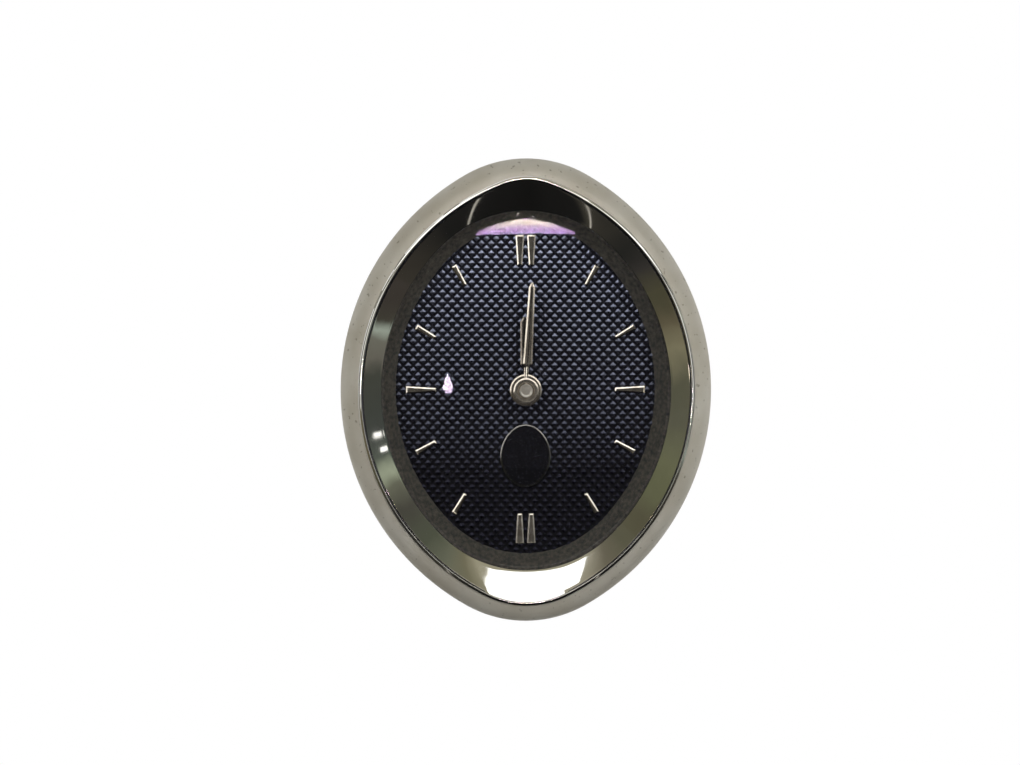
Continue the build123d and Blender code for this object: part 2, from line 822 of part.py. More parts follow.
# Hour wheel with the tube that carries the hour hand
hour_wheel_back = hour_wheel_front + wheel_width
with BuildPart() as hour_wheel:
    add_gear(hour_teeth, hour_module, hour_phase, centre, hour_wheel_front, wheel_width)
    add_round(hour_tube_radius, centre, hour_hub_front, hour_wheel_front)
    add_round(hour_tube_bore, centre, hour_hub_front, hour_wheel_back, Mode.SUBTRACT)
hour_wheel.part.label = "hour_wheel"

# Third wheel and pinion on one staff
third_wheel_back = third_wheel_front + wheel_width
with BuildPart() as third_wheel:
    add_gear(third_teeth, going_module, 0, third_centre, third_wheel_front, wheel_width)
    wheel_rim = going_module * third_teeth / 2
    cut_windows(
        wheel_rim * 0.24, wheel_rim * 0.56, third_centre, third_wheel_front, wheel_width
    )
    add_gear(
        third_pinion_teeth, going_module, third_pinion_phase, third_centre,
        centre_wheel_front - pinion_overhang, wheel_width + 2 * pinion_overhang,
    )
    add_round(staff_radius, third_centre, plate_back + 0.3, pivot_shoulder)
    add_round(pivot_radius, third_centre, floor_back + 0.1, plate_back + 0.3)
    add_round(pivot_radius, third_centre, pivot_shoulder, bridge_back - 0.1)
third_wheel.part.label = "third_wheel"

# Rotor staff with its pinion
with BuildPart() as rotor_pinion:
    add_gear(
        rotor_teeth, going_module, rotor_phase, rotor_centre,
        third_wheel_front - pinion_overhang, wheel_width + 2 * pinion_overhang,
    )
    add_round(staff_radius, rotor_centre, plate_back + 0.3, pivot_shoulder)
    add_round(pivot_radius, rotor_centre, floor_back + 0.1, plate_back + 0.3)
    add_round(pivot_radius, rotor_centre, pivot_shoulder, bridge_back - 0.1)
rotor_pinion.part.label = "rotor_pinion"

# Magnet pressed on the rotor staff
with BuildPart() as rotor_magnet:
    add_round(magnet_radius, rotor_centre, magnet_front, magnet_front + magnet_length)
    add_round(
        staff_radius + press_gap, rotor_centre, magnet_front, magnet_front + magnet_length,
        Mode.SUBTRACT,
    )
rotor_magnet.part.label = "rotor_magnet"

# Stator: a ring round the magnet, a bar across and two legs down to the coil core
stator_bore = magnet_radius + magnet_air_gap
with BuildPart() as stator:
    with BuildSketch(level(stator_front)):
        with Locations(rotor_centre):
            Circle(stator_bore + stator_ring)
            Rectangle(2 * stator_leg_x + stator_leg_width, stator_bar_height)
        leg_height = coil_drop + core_height / 2 + stator_bar_height / 2
        leg_z = rotor_centre[1] + stator_bar_height / 2 - leg_height / 2
        with Locations((-stator_leg_x, leg_z), (stator_leg_x, leg_z)):
            Rectangle(stator_leg_width, leg_height)
        with Locations(rotor_centre):
            Circle(stator_bore, mode=Mode.SUBTRACT)
            with PolarLocations(stator_bore, 2, start_angle=50):
                Circle(notch_radius, mode=Mode.SUBTRACT)
        with Locations(*motor_posts):
            Circle(frame_pilot_radius + 0.15, mode=Mode.SUBTRACT)
    extrude(amount=-stator_thickness)
stator.part.label = "stator"

# Soft-iron core that closes the magnetic path through the coil
with BuildPart() as coil_core:
    with BuildSketch(level(stator_back)):
        with Locations((0, coil_z)):
            Rectangle(2 * stator_leg_x + stator_leg_width, core_height)
        with Locations(*motor_posts):
            Circle(frame_pilot_radius + 0.15, mode=Mode.SUBTRACT)
    extrude(amount=-core_thickness)
coil_core.part.label = "coil_core"

# Bobbin on the core, with two flanges
core_slot = (bobbin_length, core_thickness + 2 * running_gap, core_height + 2 * running_gap)
flange_x = (bobbin_length - bobbin_flange_thickness) / 2
terminal_spots = [(flange_x, coil_z + side * terminal_spacing / 2) for side in (-1, 1)]
with BuildPart() as coil_bobbin:
    with Locations((0, coil_y, coil_z)):
        Cylinder(bobbin_tube_radius, bobbin_length, rotation=(0, 90, 0))
    with Locations((-flange_x, coil_y, coil_z), (flange_x, coil_y, coil_z)):
        Cylinder(bobbin_flange_radius, bobbin_flange_thickness, rotation=(0, 90, 0))
    with Locations((0, coil_y, coil_z)):
        Box(*core_slot, mode=Mode.SUBTRACT)
    with Locations(*rear_spots(terminal_spots, coil_y + bobbin_flange_radius)):
        Hole(terminal_radius + press_gap, bobbin_flange_radius - core_thickness)
coil_bobbin.part.label = "coil_bobbin"

# Copper winding between the flanges
with BuildPart() as coil_winding:
    winding_length = bobbin_length - 2 * bobbin_flange_thickness
    with Locations((0, coil_y, coil_z)):
        Cylinder(winding_radius, winding_length, rotation=(0, 90, 0))
        Cylinder(
            bobbin_tube_radius + press_gap, winding_length, rotation=(0, 90, 0),
            mode=Mode.SUBTRACT,
        )
coil_winding.part.label = "coil_winding"

# Terminal pins from the bobbin to the circuit board
terminal_front = coil_y + core_thickness + press_gap
with BuildPart() as coil_terminals:
    for spot in terminal_spots:
        add_round(terminal_radius, spot, terminal_front, board_back + pin_tail)
coil_terminals.part.label = "coil_terminals"

# Screws of the movement frame
bridge_screws = pan_head_screws(
    pillars, bridge_back, frame_pilot_radius - shank_gap, bridge_gap - 2, pillar_radius * 0.8, 0.8
)
bridge_screws.part.label = "bridge_screws"
motor_screws = pan_head_screws(
    motor_posts,
    core_back,
    frame_pilot_radius - shank_gap,
    core_thickness + stator_thickness + stator_gap,
    pillar_radius * 0.8,
    0.8,
)
motor_screws.part.label = "motor_screws"

# Circuit board, held between the housing wall and the cover
board_inset = housing_inset + board_lap
pin_z = socket_z - pin_drop
pin_spots = [((n - (pin_count - 1) / 2) * pin_pitch, pin_z) for n in range(pin_count)]
with BuildPart() as circuit_board:
    with BuildSketch(level(board_front)):
        glass_oval(-board_inset - pocket_gap)
        with Locations(*terminal_spots):
            Circle(terminal_radius + foot_gap, mode=Mode.SUBTRACT)
        with Locations(*pin_spots):
            Rectangle(pin_size + foot_gap, pin_size + foot_gap, mode=Mode.SUBTRACT)
    extrude(amount=-board_thickness)
circuit_board.part.label = "circuit_board"

# Lamps on the front of the board, one facing each light pipe
with BuildPart() as lamps:
    with BuildSketch(level(board_front)):
        with Locations(*pipe_spots):
            Rectangle(lamp_width, lamp_width)
    extrude(amount=lamp_height * 0.6)
    with BuildSketch(level(board_front - lamp_height * 0.6)):
        with Locations(*pipe_spots):
            Circle(lamp_width * 0.36)
    extrude(amount=lamp_height * 0.4)
lamps.part.label = "lamps"

# Controller chip with its rows of legs
chip_x, chip_z = -11.0, -4.0
chip_length, chip_width, chip_height = 9.0, 4.4, 1.5
leg_pitch, leg_count, leg_size = 1.27, 7, 0.5
with BuildPart() as controller_chip:
    with BuildSketch(level(board_back)):
        with Locations((chip_x, chip_z)):
            Rectangle(chip_width, chip_length)
    extrude(amount=-chip_height)
    with BuildSketch(level(board_back)):
        with Locations((chip_x, chip_z)):
            with GridLocations(chip_width + leg_size, leg_pitch, 2, leg_count):
                Rectangle(2 * leg_size, leg_size)
    extrude(amount=-leg_size)
controller_chip.part.label = "controller_chip"

# Quartz crystal in its can, lying on the board
crystal_x, crystal_z = 9.0, 2.0
crystal_radius, crystal_length = 1.1, 7.0
with BuildPart() as quartz_crystal:
    with Locations((crystal_x, board_back + crystal_radius, crystal_z)):
        Cylinder(crystal_radius, crystal_length)
    fillet(quartz_crystal.edges().filter_by(GeomType.CIRCLE).sort_by(Axis.Z)[-1], 0.4)
    with Locations((crystal_x, board_back + crystal_radius / 2, crystal_z - crystal_length / 2)):
        with Locations((-0.5, 0, 0), (0.5, 0, 0)):
            Box(0.4, crystal_radius, 1.6)
quartz_crystal.part.label = "quartz_crystal"

# Can capacitors beside the crystal
capacitor_spots = [(13.5, -8.0), (7.5, -11.0)]
capacitor_radius, capacitor_height = 2.2, 3.0
with BuildPart() as capacitors:
    with BuildSketch(level(board_back)):
        with Locations(*capacitor_spots):
            RectangleRounded(2 * capacitor_radius, 2 * capacitor_radius, 0.6)
    extrude(amount=-0.6)
    with BuildSketch(level(board_back + 0.6)):
        with Locations(*capacitor_spots):
            Circle(capacitor_radius * 0.9)
    extrude(amount=0.6 - capacitor_height)
capacitors.part.label = "capacitors"

# Pin header on the rear of the board
with BuildPart() as pin_header:
    with BuildSketch(level(board_back)):
        with Locations((0, socket_z)):
            Rectangle(socket_width - 2 * header_gap, socket_height - 2 * header_gap)
        with Locations(*pin_spots):
            Rectangle(pin_size + press_gap, pin_size + press_gap, mode=Mode.SUBTRACT)
    extrude(amount=-header_height)
pin_header.part.label = "pin_header"

# Contact pins, from the solder side of the board into the socket
pin_front = board_front - pin_tail
pin_back = board_back + header_height + pin_reach
with BuildPart() as contact_pins:
    with BuildSketch(level(pin_front)):
        with Locations(*pin_spots):
            Rectangle(pin_size, pin_size)
    extrude(amount=pin_front - pin_back)
    chamfer(contact_pins.faces().sort_by(Axis.Y)[-pin_count:].edges(), pin_size * 0.25)
contact_pins.part.label = "contact_pins"

# Rear cover: an oval cap with ribs, screw lugs and the shroud of the wiring socket
with BuildPart() as rear_cover:
    with BuildSketch(level(board_front)):
        glass_oval(-housing_inset)
    extrude(amount=-cover_depth)
    fillet(rear_cover.faces().sort_by(Axis.Y)[-1].edges(), cover_round)
    with BuildSketch(level(cover_back)) as rib_lines:
        with Locations((0, -rib_pitch)):
            with GridLocations(rib_pitch, rib_pitch * 3, 5, 1):
                Rectangle(rib_width, opening_height * 0.52)
        Circle(pad_radius)
    extrude(amount=-rib_height)
    with BuildSketch(level(cover_back - 1)):
        with Locations((0, socket_z)):
            RectangleRounded(
                socket_width + 2 * socket_wall, socket_height + 2 * socket_wall, socket_wall
            )
    extrude(amount=-socket_length - 1)
    with BuildSketch(level(board_front)):
        with Locations(*cover_screw_spots):
            Circle(cover_lug_radius)
    extrude(amount=-cover_flange)
    # Hollow for the parts on the board, with a step that holds the board's edge
    with BuildSketch(level(board_front)):
        glass_oval(-board_inset)
    extrude(amount=-board_thickness, mode=Mode.SUBTRACT)
    with BuildSketch(level(board_back)):
        glass_oval(-housing_inset - housing_wall)
    extrude(amount=board_back - cover_floor, mode=Mode.SUBTRACT)
    with BuildSketch(level(cover_floor)):
        with Locations((0, socket_z)):
            Rectangle(socket_width, socket_height)
    extrude(amount=cover_floor - socket_back, mode=Mode.SUBTRACT)
    # Slot for the latch of the plug
    with BuildSketch(level(socket_back)):
        with Locations((0, socket_z + socket_height / 2 + socket_wall / 2)):
            Rectangle(socket_width * 0.3, socket_wall + 0.1)
    extrude(amount=socket_length * 0.6, mode=Mode.SUBTRACT)
    with Locations(*rear_spots(cover_screw_spots, board_front + cover_flange)):
        Hole(case_pilot_radius + screw_clearance, cover_flange)
rear_cover.part.label = "rear_cover"

# Screws that close the cover, and screws that hold the housing to the bowl
cover_screws = pan_head_screws(
    cover_screw_spots,
    board_front + cover_flange,
    case_pilot_radius - shank_gap,
    cover_flange + cover_pilot_depth - 0.6,
    screw_head_radius,
    screw_head_height,
)
cover_screws.part.label = "cover_screws"
case_screws = pan_head_screws(
    case_screw_spots,
    floor_back,
    case_pilot_radius - shank_gap,
    housing_floor + case_pilot_depth - 1,
    screw_head_radius,
    screw_head_height,
)
case_screws.part.label = "case_screws"


# Upright outline of a hand: hub, thin neck and tapering blade
def hand_outline(length, start, base_width, mid_width, hub_radius):
    middle = (start + length) / 2
    Circle(hub_radius)
    Polygon(
        (-hand_neck_width / 2, 0),
        (hand_neck_width / 2, 0),
        (hand_neck_width / 2, start - 1.2),
        (base_width / 2, start),
        (mid_width / 2, middle),
        (hand_point_width / 2, length - 0.9),
        (0, length),
        (-hand_point_width / 2, length - 0.9),
        (-mid_width / 2, middle),
        (-base_width / 2, start),
        (-hand_neck_width / 2, start - 1.2),
        align=None,
    )


# Blade of a hand: a flat back and a crown with drafted sides
def add_blade(front, angle, length, start, base_width, mid_width):
    for thickness, draft in ((hand_thickness, 0), (hand_crown, hand_crown_draft)):
        with BuildSketch(level(front)) as outline:
            with Locations(Location((0, 0, 0), (0, 0, -angle))):
                hand_outline(length, start, base_width, mid_width, arbor_radius * 2)
        extrude(outline.sketch, amount=thickness, taper=draft)
        front -= thickness


# Minute hand, pressed on the cannon pinion, with a dished hub
with BuildPart() as minute_hand:
    add_blade(
        minute_hub_back - hand_plane_offset, minute_rest_angle, minute_length,
        minute_blade_start, minute_base_width, minute_mid_width,
    )
    add_round(minute_hub_radius, centre, minute_hub_front, minute_hub_back)
    fillet(
        minute_hand.edges().filter_by(GeomType.CIRCLE).sort_by(Axis.Y)[0], hub_recess_depth / 2
    )
    add_round(hub_recess_radius, centre, minute_hub_front, arbor_front, Mode.SUBTRACT)
    add_round(cannon_radius + press_gap, centre, arbor_front, minute_hub_back, Mode.SUBTRACT)
minute_hand.part.label = "minute_hand"

# Hour hand, pressed on the hour wheel's tube
with BuildPart() as hour_hand:
    add_blade(
        hour_hub_back - hand_plane_offset, hour_rest_angle, hour_length,
        hour_blade_start, hour_base_width, hour_mid_width,
    )
    add_round(hour_hub_radius, centre, hour_hub_front, hour_hub_back)
    fillet(hour_hand.edges().filter_by(GeomType.CIRCLE).sort_by(Axis.Y)[0], hub_recess_depth / 2)
    add_round(hour_tube_radius + press_gap, centre, hour_hub_front, hour_hub_back, Mode.SUBTRACT)
hour_hand.part.label = "hour_hand"

# Button that caps the arbor
with BuildPart() as hub_button:
    add_round(button_radius, centre, arbor_front - button_height, arbor_front)
    fillet(hub_button.edges().filter_by(GeomType.CIRCLE).sort_by(Axis.Y)[0], button_height / 3)
hub_button.part.label = "hub_button"

for piece in (
    trim_ring, bezel_bowl, lens_gasket, lens, mask_ring, hour_markers, dial, dial_medallion,
    light_guide, front_housing, movement_plate, movement_bridge, centre_wheel, cannon_pinion,
    motion_wheel, hour_wheel, third_wheel, rotor_pinion, rotor_magnet, stator, coil_core,
    coil_bobbin, coil_winding, coil_terminals, bridge_screws, motor_screws, circuit_board, lamps,
    controller_chip, quartz_crystal, capacitors, pin_header, contact_pins, rear_cover,
    cover_screws, case_screws, minute_hand, hour_hand, hub_button,
):
    export_step(piece.part, f"parts/{piece.part.label}.step")
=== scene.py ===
# %% [markdown]
# # A dashboard clock, dressed for a portrait
# The imported model is the fixed frame: every bright ring, dial and hand below is built where its
# CAD solid stands, in metres. Loading it first means that nothing has to be fitted later.

# %% Load the frame
import math

import bmesh
import bpy
from mathutils import Matrix, Vector


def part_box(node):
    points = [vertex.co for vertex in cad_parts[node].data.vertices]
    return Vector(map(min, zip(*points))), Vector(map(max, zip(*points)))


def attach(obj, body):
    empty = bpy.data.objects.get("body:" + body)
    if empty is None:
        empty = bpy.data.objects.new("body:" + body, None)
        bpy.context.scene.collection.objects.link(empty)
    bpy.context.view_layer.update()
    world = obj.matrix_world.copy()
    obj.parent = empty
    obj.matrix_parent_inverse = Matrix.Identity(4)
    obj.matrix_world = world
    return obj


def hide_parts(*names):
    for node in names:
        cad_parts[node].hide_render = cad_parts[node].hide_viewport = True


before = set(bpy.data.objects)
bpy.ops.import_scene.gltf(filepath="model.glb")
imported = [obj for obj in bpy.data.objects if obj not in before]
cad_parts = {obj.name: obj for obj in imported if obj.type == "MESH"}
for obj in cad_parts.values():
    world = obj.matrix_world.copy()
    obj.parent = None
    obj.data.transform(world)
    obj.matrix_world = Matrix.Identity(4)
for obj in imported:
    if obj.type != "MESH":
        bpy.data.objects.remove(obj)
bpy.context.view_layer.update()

# %% [markdown]
# ## The three ovals
# The trim ring, the lip and the glass are ovals of four arcs: two long arcs at the sides and two
# tighter arcs at the top and bottom. An ellipse could stand in for each, but a maker draws arcs,
# because every parallel line of them is again four arcs on the same centres. The reach of an
# oval at any angle then follows from one of its circles. The lip is narrower at its top than at
# its bottom, so its upper half has arcs of its own.

# %% Ovals of four arcs
MM = 0.001
TURN = 2 * math.pi
trim_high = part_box("trim_ring")[1]
half_width, half_height = trim_high.x / MM, trim_high.z / MM
trim_shoulder, glass_shoulder, lip_shoulder, lip_top_shoulder = 13.9, 5.55, 16.5, 22
glass_inset_x, glass_inset_z, lip_inset = 8.8, 11.2, 4.3


def four_arcs(half_x, half_z, shoulder):
    """Radii and centre shifts of an oval whose end arcs are a shoulder narrower than half of it."""
    end = half_x - shoulder
    side = (half_x**2 + half_z**2 - 2 * half_z * end) / (2 * shoulder)
    side_shift, end_shift = side - half_x, half_z - end
    turn = math.atan2(end_shift, side_shift)
    join = math.atan2(side * math.sin(turn), side * math.cos(turn) - side_shift)
    return {"end": end, "side": side, "side_shift": side_shift, "end_shift": end_shift, "join": join}


def reach(oval, grow, angle):
    """Distance from the middle to an oval's edge, at an angle, with the oval grown by an offset.

    An oval can also be a share of the way from one grown oval to another.
    """
    if "ends" in oval:
        first, second, share = oval["ends"]
        return grow + (1 - share) * reach(*first, angle) + share * reach(*second, angle)
    if "upper" in oval and math.sin(angle) > 0:
        return reach(oval["upper"], grow, angle)
    across, up = abs(math.cos(angle)), abs(math.sin(angle))
    if math.atan2(up, across) < oval["join"]:
        shift, radius = oval["side_shift"], oval["side"] + grow
        return math.sqrt(radius**2 - (shift * up) ** 2) - shift * across
    shift, radius = oval["end_shift"], oval["end"] + grow
    return math.sqrt(radius**2 - (shift * across) ** 2) + shift * up


trim_oval = four_arcs(half_width, half_height, trim_shoulder)
glass_half_width, glass_half_height = half_width - glass_inset_x, half_height - glass_inset_z
glass_oval = four_arcs(glass_half_width, glass_half_height, glass_shoulder)
lip_half_width, lip_half_height = half_width - lip_inset, half_height - lip_inset
lip_oval = four_arcs(lip_half_width, lip_half_height, lip_shoulder)
lip_oval["upper"] = four_arcs(lip_half_width, lip_half_height, lip_top_shoulder)
print("glass opening", 2 * glass_half_width, "x", 2 * glass_half_height, "mm")

# %% [markdown]
# ## Depths
# The clock is a stack: lip, ledge, gasket, glass, mask and dial, one behind the other. Their
# depths are read from the frame, so each new piece touches the same neighbours as its solid.
# Every piece below is drawn in millimetres, as on a workshop drawing, with y running rearwards,
# and make_piece scales it to metres once.

# %% Depths of the stack
def front_and_back(node):
    """The depths of a CAD node's front and back, in millimetres."""
    low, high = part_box(node)
    return low.y / MM, high.y / MM


lip_crest, housing_front = front_and_back("bezel_bowl")
ledge_back, rim_front = front_and_back("lens_gasket")
lens_apex, rim_back = front_and_back("lens")
dial_front = front_and_back("dial")[0]
ledge_thickness = 0.8
ledge_front = ledge_back - ledge_thickness
print("lip", lip_crest, "ledge", ledge_back, "glass", lens_apex, "dial", dial_front)

# %% [markdown]
# ## Rings that follow an oval
# A bezel is a closed section carried round the oval. One ring of points is made with
# create_circle and moved out to the oval's edge, then extruded from ring to ring, and each new
# ring is moved to its own place in the section. Edges that a die or a polishing wheel would
# round are bevelled afterwards, so that they catch the light.

# %% Ring helpers
ring_points = 240


def set_ring(points, oval, grow, depth, share=1.0):
    """Moves a ring's points to an oval, at one depth or at the depth that a function gives."""
    for point in points:
        angle = math.atan2(point.co.z, point.co.x)
        far = share * reach(oval, grow, angle)
        point.co.x, point.co.z = far * math.cos(angle), far * math.sin(angle)
        point.co.y = depth(point.co.x, point.co.z) if callable(depth) else depth


def first_ring(bm, oval, grow, depth, count=ring_points):
    """Draws the first ring of a body and returns its edges."""
    points = bmesh.ops.create_circle(bm, cap_ends=False, segments=count, radius=1)["verts"]
    bmesh.ops.rotate(bm, verts=points, matrix=Matrix.Rotation(math.pi / 2, 3, "X"))
    set_ring(points, oval, grow, depth)
    return list(dict.fromkeys(edge for point in points for edge in point.link_edges))


def next_ring(bm, edges, oval, grow, depth, share=1.0):
    """Extrudes a ring to its next place in the section and returns the new edges."""
    made = bmesh.ops.extrude_edge_only(bm, edges=edges)["geom"]
    points = {part for part in made if isinstance(part, bmesh.types.BMVert)}
    set_ring(points, oval, grow, depth, share)
    return [
        part for part in made
        if isinstance(part, bmesh.types.BMEdge) and all(point in points for point in part.verts)
    ]


def ring_body(bm, section):
    """Carries a closed section round: each corner is (oval, growth, depth, rounding)."""
    oval, grow, depth, _ = section[0]
    rings = [first_ring(bm, oval, grow, depth)]
    for oval, grow, depth, _ in section[1:]:
        rings.append(next_ring(bm, rings[-1], oval, grow, depth))
    bmesh.ops.bridge_loops(bm, edges=rings[-1] + rings[0])
    for edges, (*_, rounding) in zip(rings, section):
        if rounding:
            bmesh.ops.bevel(
                bm, geom=edges, offset=rounding, offset_type="OFFSET", segments=3, profile=0.5,
                material=-1, affect="EDGES",
            )


def close_to_pole(bm, edges):
    """Closes a small ring on its own middle."""
    points = list(dict.fromkeys(point for edge in edges for point in edge.verts))
    middle = sum((point.co for point in points), Vector()) / len(points)
    bmesh.ops.pointmerge(bm, verts=points, merge_co=middle)


# %% [markdown]
# ## From a mesh to a piece
# Every new piece is finished the same way. Points that lie on each other are merged, faces are
# turned outwards, and edges sharper than an angle stay crisp while the rest is shaded smooth.
# The piece then rides on the CAD body that carries it and stands for its CAD node.

# %% Piece helpers
same_place = 0.0001


def mesh_from(name, bm):
    """Moves a finished shape into a new mesh."""
    mesh = bpy.data.meshes.new(name)
    bm.to_mesh(mesh)
    bm.free()
    return mesh


def make_piece(name, bm, material, body="case", stands_for=(), crisp=28):
    """Turns a shape in millimetres into a piece of the clock, smooth below the crisp angle."""
    bmesh.ops.remove_doubles(bm, verts=bm.verts, dist=same_place)
    bmesh.ops.recalc_face_normals(bm, faces=bm.faces)
    bmesh.ops.scale(bm, verts=bm.verts, vec=(MM, MM, MM))
    mesh = mesh_from(name, bm)
    mesh.shade_smooth()
    mesh.set_sharp_from_angle(angle=math.radians(crisp))
    mesh.materials.append(material)
    piece = bpy.data.objects.new(name, mesh)
    bpy.context.scene.collection.objects.link(piece)
    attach(piece, body)
    if stands_for:
        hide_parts(*stands_for)
    print(name, len(mesh.polygons), "faces")
    return piece


def second_finish(piece, material, wanted):
    """Gives another material to the faces that are wanted."""
    piece.data.materials.append(material)
    for face in piece.data.polygons:
        face.material_index = 1 if wanted(face) else 0


def turned(bm, profile, centre=(0, 0), steps=64):
    """Turns a profile of (radius, depth) round an axis that runs from front to back."""
    x, z = centre
    points = [bm.verts.new((x + radius, depth, z)) for radius, depth in profile]
    edges = [bm.edges.new(pair) for pair in zip(points, points[1:])]
    bmesh.ops.spin(
        bm, geom=points + edges, cent=(x, 0, z), axis=(0, 1, 0), dvec=(0, 0, 0),
        angle=TURN, steps=steps, use_merge=True,
    )


# %% [markdown]
# ## Finishes
# A finish starts from one helper: two tones mixed by a soft noise, a second noise that varies
# the gloss as handling does, and a fine grain that lifts the surface a few microns. The noises
# read Object coordinates, in metres, so their scale is a real one and they stay on the piece.

# %% Finish helpers
speck_share, speck_edges = 0.55, (0.69, 0.75)


def tone(red, green, blue):
    """A colour written as it looks on screen, from 0 to 255, as the linear values nodes use."""
    def linear(value):
        value /= 255
        return value / 12.92 if value <= 0.04045 else ((value + 0.055) / 1.055) ** 2.4
    return (linear(red), linear(green), linear(blue), 1.0)


def blank_material(name):
    """A new material, with its nodes, its links and its shader."""
    material = bpy.data.materials.new(name)
    material.use_nodes = True
    nodes, links = material.node_tree.nodes, material.node_tree.links
    return material, nodes, links, nodes["Principled BSDF"]


def place_along(nodes, links, axis):
    """How far along an axis of the piece a point lies, in metres."""
    place = nodes.new("ShaderNodeTexCoord")
    split = nodes.new("ShaderNodeSeparateXYZ")
    links.new(place.outputs["Object"], split.inputs[0])
    return split.outputs[axis]


def place_noise(nodes, links, scale, detail=2.0, stretch=(1, 1, 1)):
    """Noise on the piece's own place, stretched along an axis for brushed or drawn surfaces."""
    place = nodes.new("ShaderNodeTexCoord")
    mapping = nodes.new("ShaderNodeMapping")
    mapping.inputs["Scale"].default_value = stretch
    noise = nodes.new("ShaderNodeTexNoise")
    noise.inputs["Scale"].default_value = scale
    noise.inputs["Detail"].default_value = detail
    links.new(place.outputs["Object"], mapping.inputs["Vector"])
    links.new(mapping.outputs["Vector"], noise.inputs["Vector"])
    return noise.outputs["Fac"]


def between(nodes, links, value, low, high, from_low=0.3, from_high=0.7):
    """Spreads a value over a range. A noise rarely leaves 0.3 to 0.7, so that is its input."""
    spread = nodes.new("ShaderNodeMapRange")
    spread.inputs["From Min"].default_value = from_low
    spread.inputs["From Max"].default_value = from_high
    spread.inputs["To Min"].default_value = low
    spread.inputs["To Max"].default_value = high
    links.new(value, spread.inputs["Value"])
    return spread.outputs["Result"]


def mixed(nodes, links, value, first, second):
    """A share between two colours, each typed or taken from a node."""
    mix = nodes.new("ShaderNodeMix")
    mix.data_type = "RGBA"
    for socket, source in ((mix.inputs[6], first), (mix.inputs[7], second)):
        if isinstance(source, tuple):
            socket.default_value = source
        else:
            links.new(source, socket)
    links.new(value, mix.inputs[0])
    return mix.outputs[2]


def finish(
    name, dark, light, patch, gloss, metal=0.0, grain=None, stretch=(1, 1, 1), specks=None,
):
    """A material of two tones in patches of a size in millimetres, with a range of roughness.

    The grain is (size, microns), and the specks are (size, colour).
    """
    material, nodes, links, shader = blank_material(name)
    shader.inputs["Metallic"].default_value = metal
    soft = place_noise(nodes, links, 1 / (patch * MM), 3, stretch)
    colour = mixed(nodes, links, between(nodes, links, soft, 0, 1), tone(*dark), tone(*light))
    if specks:
        size, dust = specks
        spots = place_noise(nodes, links, 1 / (size * MM), 1)
        dusty = between(nodes, links, spots, 0, speck_share, *speck_edges)
        colour = mixed(nodes, links, dusty, colour, tone(*dust))
    links.new(colour, shader.inputs["Base Color"])
    wear = place_noise(nodes, links, 2.3 / (patch * MM), 4, stretch)
    links.new(between(nodes, links, wear, *gloss), shader.inputs["Roughness"])
    if grain:
        size, microns = grain
        bump = nodes.new("ShaderNodeBump")
        bump.inputs["Strength"].default_value = 1.0
        bump.inputs["Distance"].default_value = microns * 1e-6
        links.new(place_noise(nodes, links, 1 / (size * MM), 2, stretch), bump.inputs["Height"])
        links.new(bump.outputs["Normal"], shader.inputs["Normal"])
    return material


# %% [markdown]
# ## Camera
# The photograph was taken from half a metre, a little above and to the left of the dial's axis.
# The clock isn't in the middle of the picture, so the camera looks at a point beside it. The
# focal length could be typed in, but it follows here from the clock's share of the picture, so
# it stays right if the clock changes.

# %% Camera
def seen_from_dial(azimuth, elevation, distance):
    """A place in front of the dial, from its middle: degrees to the right and upwards."""
    azimuth, elevation = math.radians(azimuth), math.radians(elevation)
    return (
        distance * math.sin(azimuth) * math.cos(elevation),
        -distance * math.cos(azimuth) * math.cos(elevation),
        distance * math.sin(elevation),
    )


frame_width_px, clock_height_px = 1020, 466
sensor_width = 36
camera_distance = 0.5
camera_azimuth, camera_elevation = -1.8, 3.5
look_at = Vector((-3.6 * MM, -6 * MM, 2.0 * MM))
back = Vector(seen_from_dial(camera_azimuth, camera_elevation, 1))
camera_data = bpy.data.cameras.new("camera")
clock_share = clock_height_px / frame_width_px
camera_data.sensor_width = sensor_width
camera_data.lens = sensor_width * clock_share * camera_distance / (2 * half_height * MM)
camera = bpy.data.objects.new("camera", camera_data)
camera.location = look_at + back * camera_distance
camera.rotation_mode = "QUATERNION"
camera.rotation_quaternion = back.to_track_quat("Z", "Y")
bpy.context.scene.collection.objects.link(camera)
bpy.context.scene.camera = camera
bpy.context.scene.view_settings.view_transform = "Standard"
print("lens", round(camera_data.lens, 1), "mm")

# %% [markdown]
# ## Backdrop and floor
# The background is plain white. The world is white to the camera, to reflections and through
# the glass, and grey as a light, so that the white doesn't wash the clock out. The floor lies
# well below the clock, as a table under a raised product does, and is white in the same way.

# %% World and floor
world_fill, floor_height = 0.14, -0.30


def seen_directly(nodes, links):
    """1 for rays that see a background: from the camera, in a reflection or through glass."""
    path = nodes.new("ShaderNodeLightPath")
    total = path.outputs["Is Camera Ray"]
    for kind in ("Is Glossy Ray", "Is Transmission Ray"):
        add = nodes.new("ShaderNodeMath")
        add.use_clamp = True
        links.new(total, add.inputs[0])
        links.new(path.outputs[kind], add.inputs[1])
        total = add.outputs[0]
    return total


def show_by_ray(nodes, links, as_light, as_background, surface):
    """Joins a shader that gives light to one for the rays that see the background."""
    either = nodes.new("ShaderNodeMixShader")
    links.new(seen_directly(nodes, links), either.inputs[0])
    links.new(as_light.outputs[0], either.inputs[1])
    links.new(as_background.outputs[0], either.inputs[2])
    links.new(either.outputs[0], surface.inputs["Surface"])


